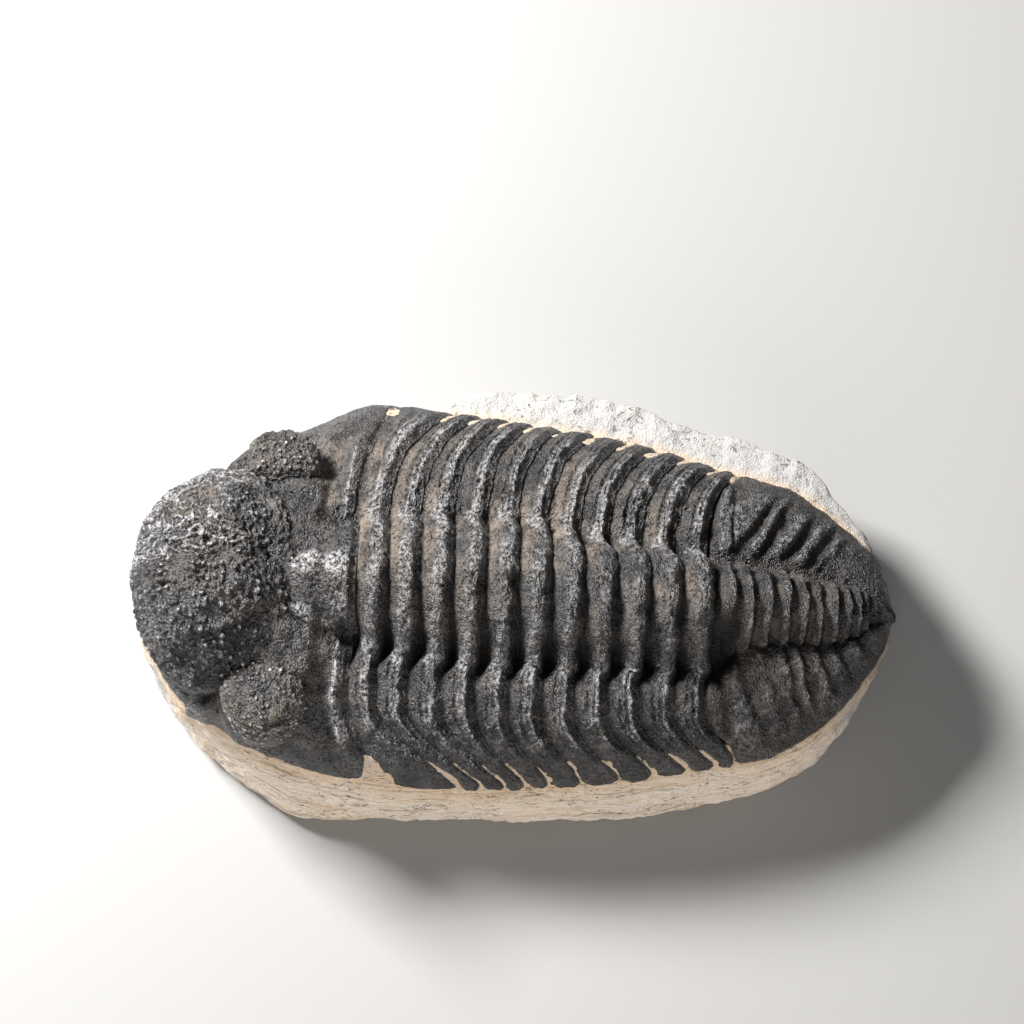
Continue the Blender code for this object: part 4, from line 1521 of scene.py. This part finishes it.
@dataclass
class Studio:
    """Floor, lights and camera."""

    elevation: float = math.radians(72)
    azimuth: float = math.radians(2.6)
    lens: float = 100.0
    sensor: float = 36.0
    pixels: int = 1024
    scale: float = 0.164  # millimetres to a pixel at the target
    target: tuple[float, float, float] = (0.0, 0.0, 26.0)
    target_pixel: tuple[float, float] = (512.0, 598.0)
    floor_reach: float = 1.6

    def axes(self) -> tuple[Vector, Vector, Vector]:
        """The camera's right, up and backward directions."""
        flat = math.cos(self.elevation)
        x, y = math.sin(self.azimuth) * flat, -math.cos(self.azimuth) * flat
        back = Vector((x, y, math.sin(self.elevation)))
        right = Vector((math.cos(self.azimuth), math.sin(self.azimuth), 0))
        return right, back.cross(right), back

    def camera(self) -> None:
        """Place the camera so that the target falls on its pixel."""
        right, up, back = self.axes()
        focal = self.lens / self.sensor * self.pixels
        distance = focal * self.scale
        shift_right = (self.target_pixel[0] - self.pixels / 2) * self.scale
        shift_up = (self.pixels / 2 - self.target_pixel[1]) * self.scale
        place = Vector(self.target) - Vector(MIDDLE) + back * distance - right * shift_right - up * shift_up
        data = bpy.data.cameras.new("camera")
        data.lens, data.sensor_width = self.lens, self.sensor
        data.clip_start, data.clip_end = 0.01, 20.0
        camera = bpy.data.objects.new("camera", data)
        camera.matrix_world = Matrix.Translation(place * MM) @ Matrix((right, up, back)).transposed().to_4x4()
        bpy.context.scene.collection.objects.link(camera)
        bpy.context.scene.camera = camera

    def area(self, name: str, place: tuple[float, float, float], aim: tuple[float, float, float], size: float,
             power: float, colour: tuple[float, float, float]) -> None:
        """Add a square soft light.

        Args:
            name: the light's name.
            place: where it stands, in metres.
            aim: what it points at, in metres.
            size: its side in metres.
            power: its power in watts.
            colour: its colour.
        """
        data = bpy.data.lights.new(name, "AREA")
        data.size, data.energy, data.color = size, power, colour
        light = bpy.data.objects.new(name, data)
        light.location = place
        light.rotation_euler = (Vector(aim) - Vector(place)).to_track_quat("-Z", "Y").to_euler()
        bpy.context.scene.collection.objects.link(light)

    def lights(self) -> None:
        """A key from the far left, a wide fill in front, a faint overhead light and an even surround."""
        self.area("key", (-0.34, 0.23, 0.362), (-0.01, 0, 0.02), 0.15, 9.8, (1.0, 0.985, 0.965))
        self.area("front_fill", (0.02, -0.6, 0.16), (0, 0, 0.01), 0.5, 3.9, (1.0, 0.95, 0.89))
        self.area("overhead", (0.0, 0.1, 0.9), (0, 0, 0), 0.6, 0.45, (0.96, 0.98, 1.0))
        world = bpy.data.worlds.new("surround")
        world.use_nodes = True
        world.node_tree.nodes["Background"].inputs["Color"].default_value = (0.8, 0.83, 0.88, 1)
        world.node_tree.nodes["Background"].inputs["Strength"].default_value = 0.065
        bpy.context.scene.world = world
        bpy.context.scene.view_settings.view_transform = "Standard"

    def floor(self) -> None:
        """Lay the floor under the stone."""
        mesh = bpy.data.meshes.new("floor")
        r = self.floor_reach
        mesh.from_pydata([(-r, -r, 0), (r, -r, 0), (r, r, 0), (-r, r, 0)], [], [(0, 1, 2, 3)])
        mesh.materials.append(FloorFinish("table_paper").material())
        floor = bpy.data.objects.new("floor", mesh)
        bpy.context.scene.collection.objects.link(floor)


@dataclass
class Trilobite:
    """The whole fossil in its stone."""

    plan: BodyPlan = field(default_factory=BodyPlan)

    def build(self) -> None:
        """Build every piece and report it."""
        # The head's finish is a lighter copy with brighter painted highlights, and the tail's a darker copy:
        # painted light and painted shade along the body.
        head = ShellFinish("head_shell_painted_light", light=(0.11, 0.108, 0.108, 1), polish_and_highlight=(0.47, 0.465, 0.47, 1),
                           satin=0.18).material()
        thorax = ShellFinish("thorax_shell").material()
        tail = ShellFinish("tail_shell_painted_shade", light=(0.047, 0.046, 0.047, 1), polish_and_highlight=(0.165, 0.163, 0.165, 1),
                           dust=(0.12, 0.092, 0.07, 1)).material()
        MatrixStone(self.plan).build(LimestoneFinish("cream_limestone").material())
        HeadShield(self.plan).build(head)
        Glabella().build(head)
        Eye(Side.LEFT, (-38.5, 19.7), half_length=6.0, turned=-0.1, top=35.4).build(head)
        Eye(Side.RIGHT, (-38.9, -19.2), half_length=6.7, half_width=6.2, inner=0.95, turned=0.32,
            top=34.9).build(head)
        for index in range(SEGMENTS):
            ThoracicSegment(index, self.plan).build(thorax)
        TailShield(self.plan).build(tail)


def main() -> None:
    """Load the frame, and build the fossil and the studio."""
    logging.basicConfig(level=logging.INFO, format="%(name)s %(message)s")
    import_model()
    Trilobite().build()
    studio = Studio()
    studio.floor()
    studio.lights()
    studio.camera()


if __name__ == "__main__":
    main()
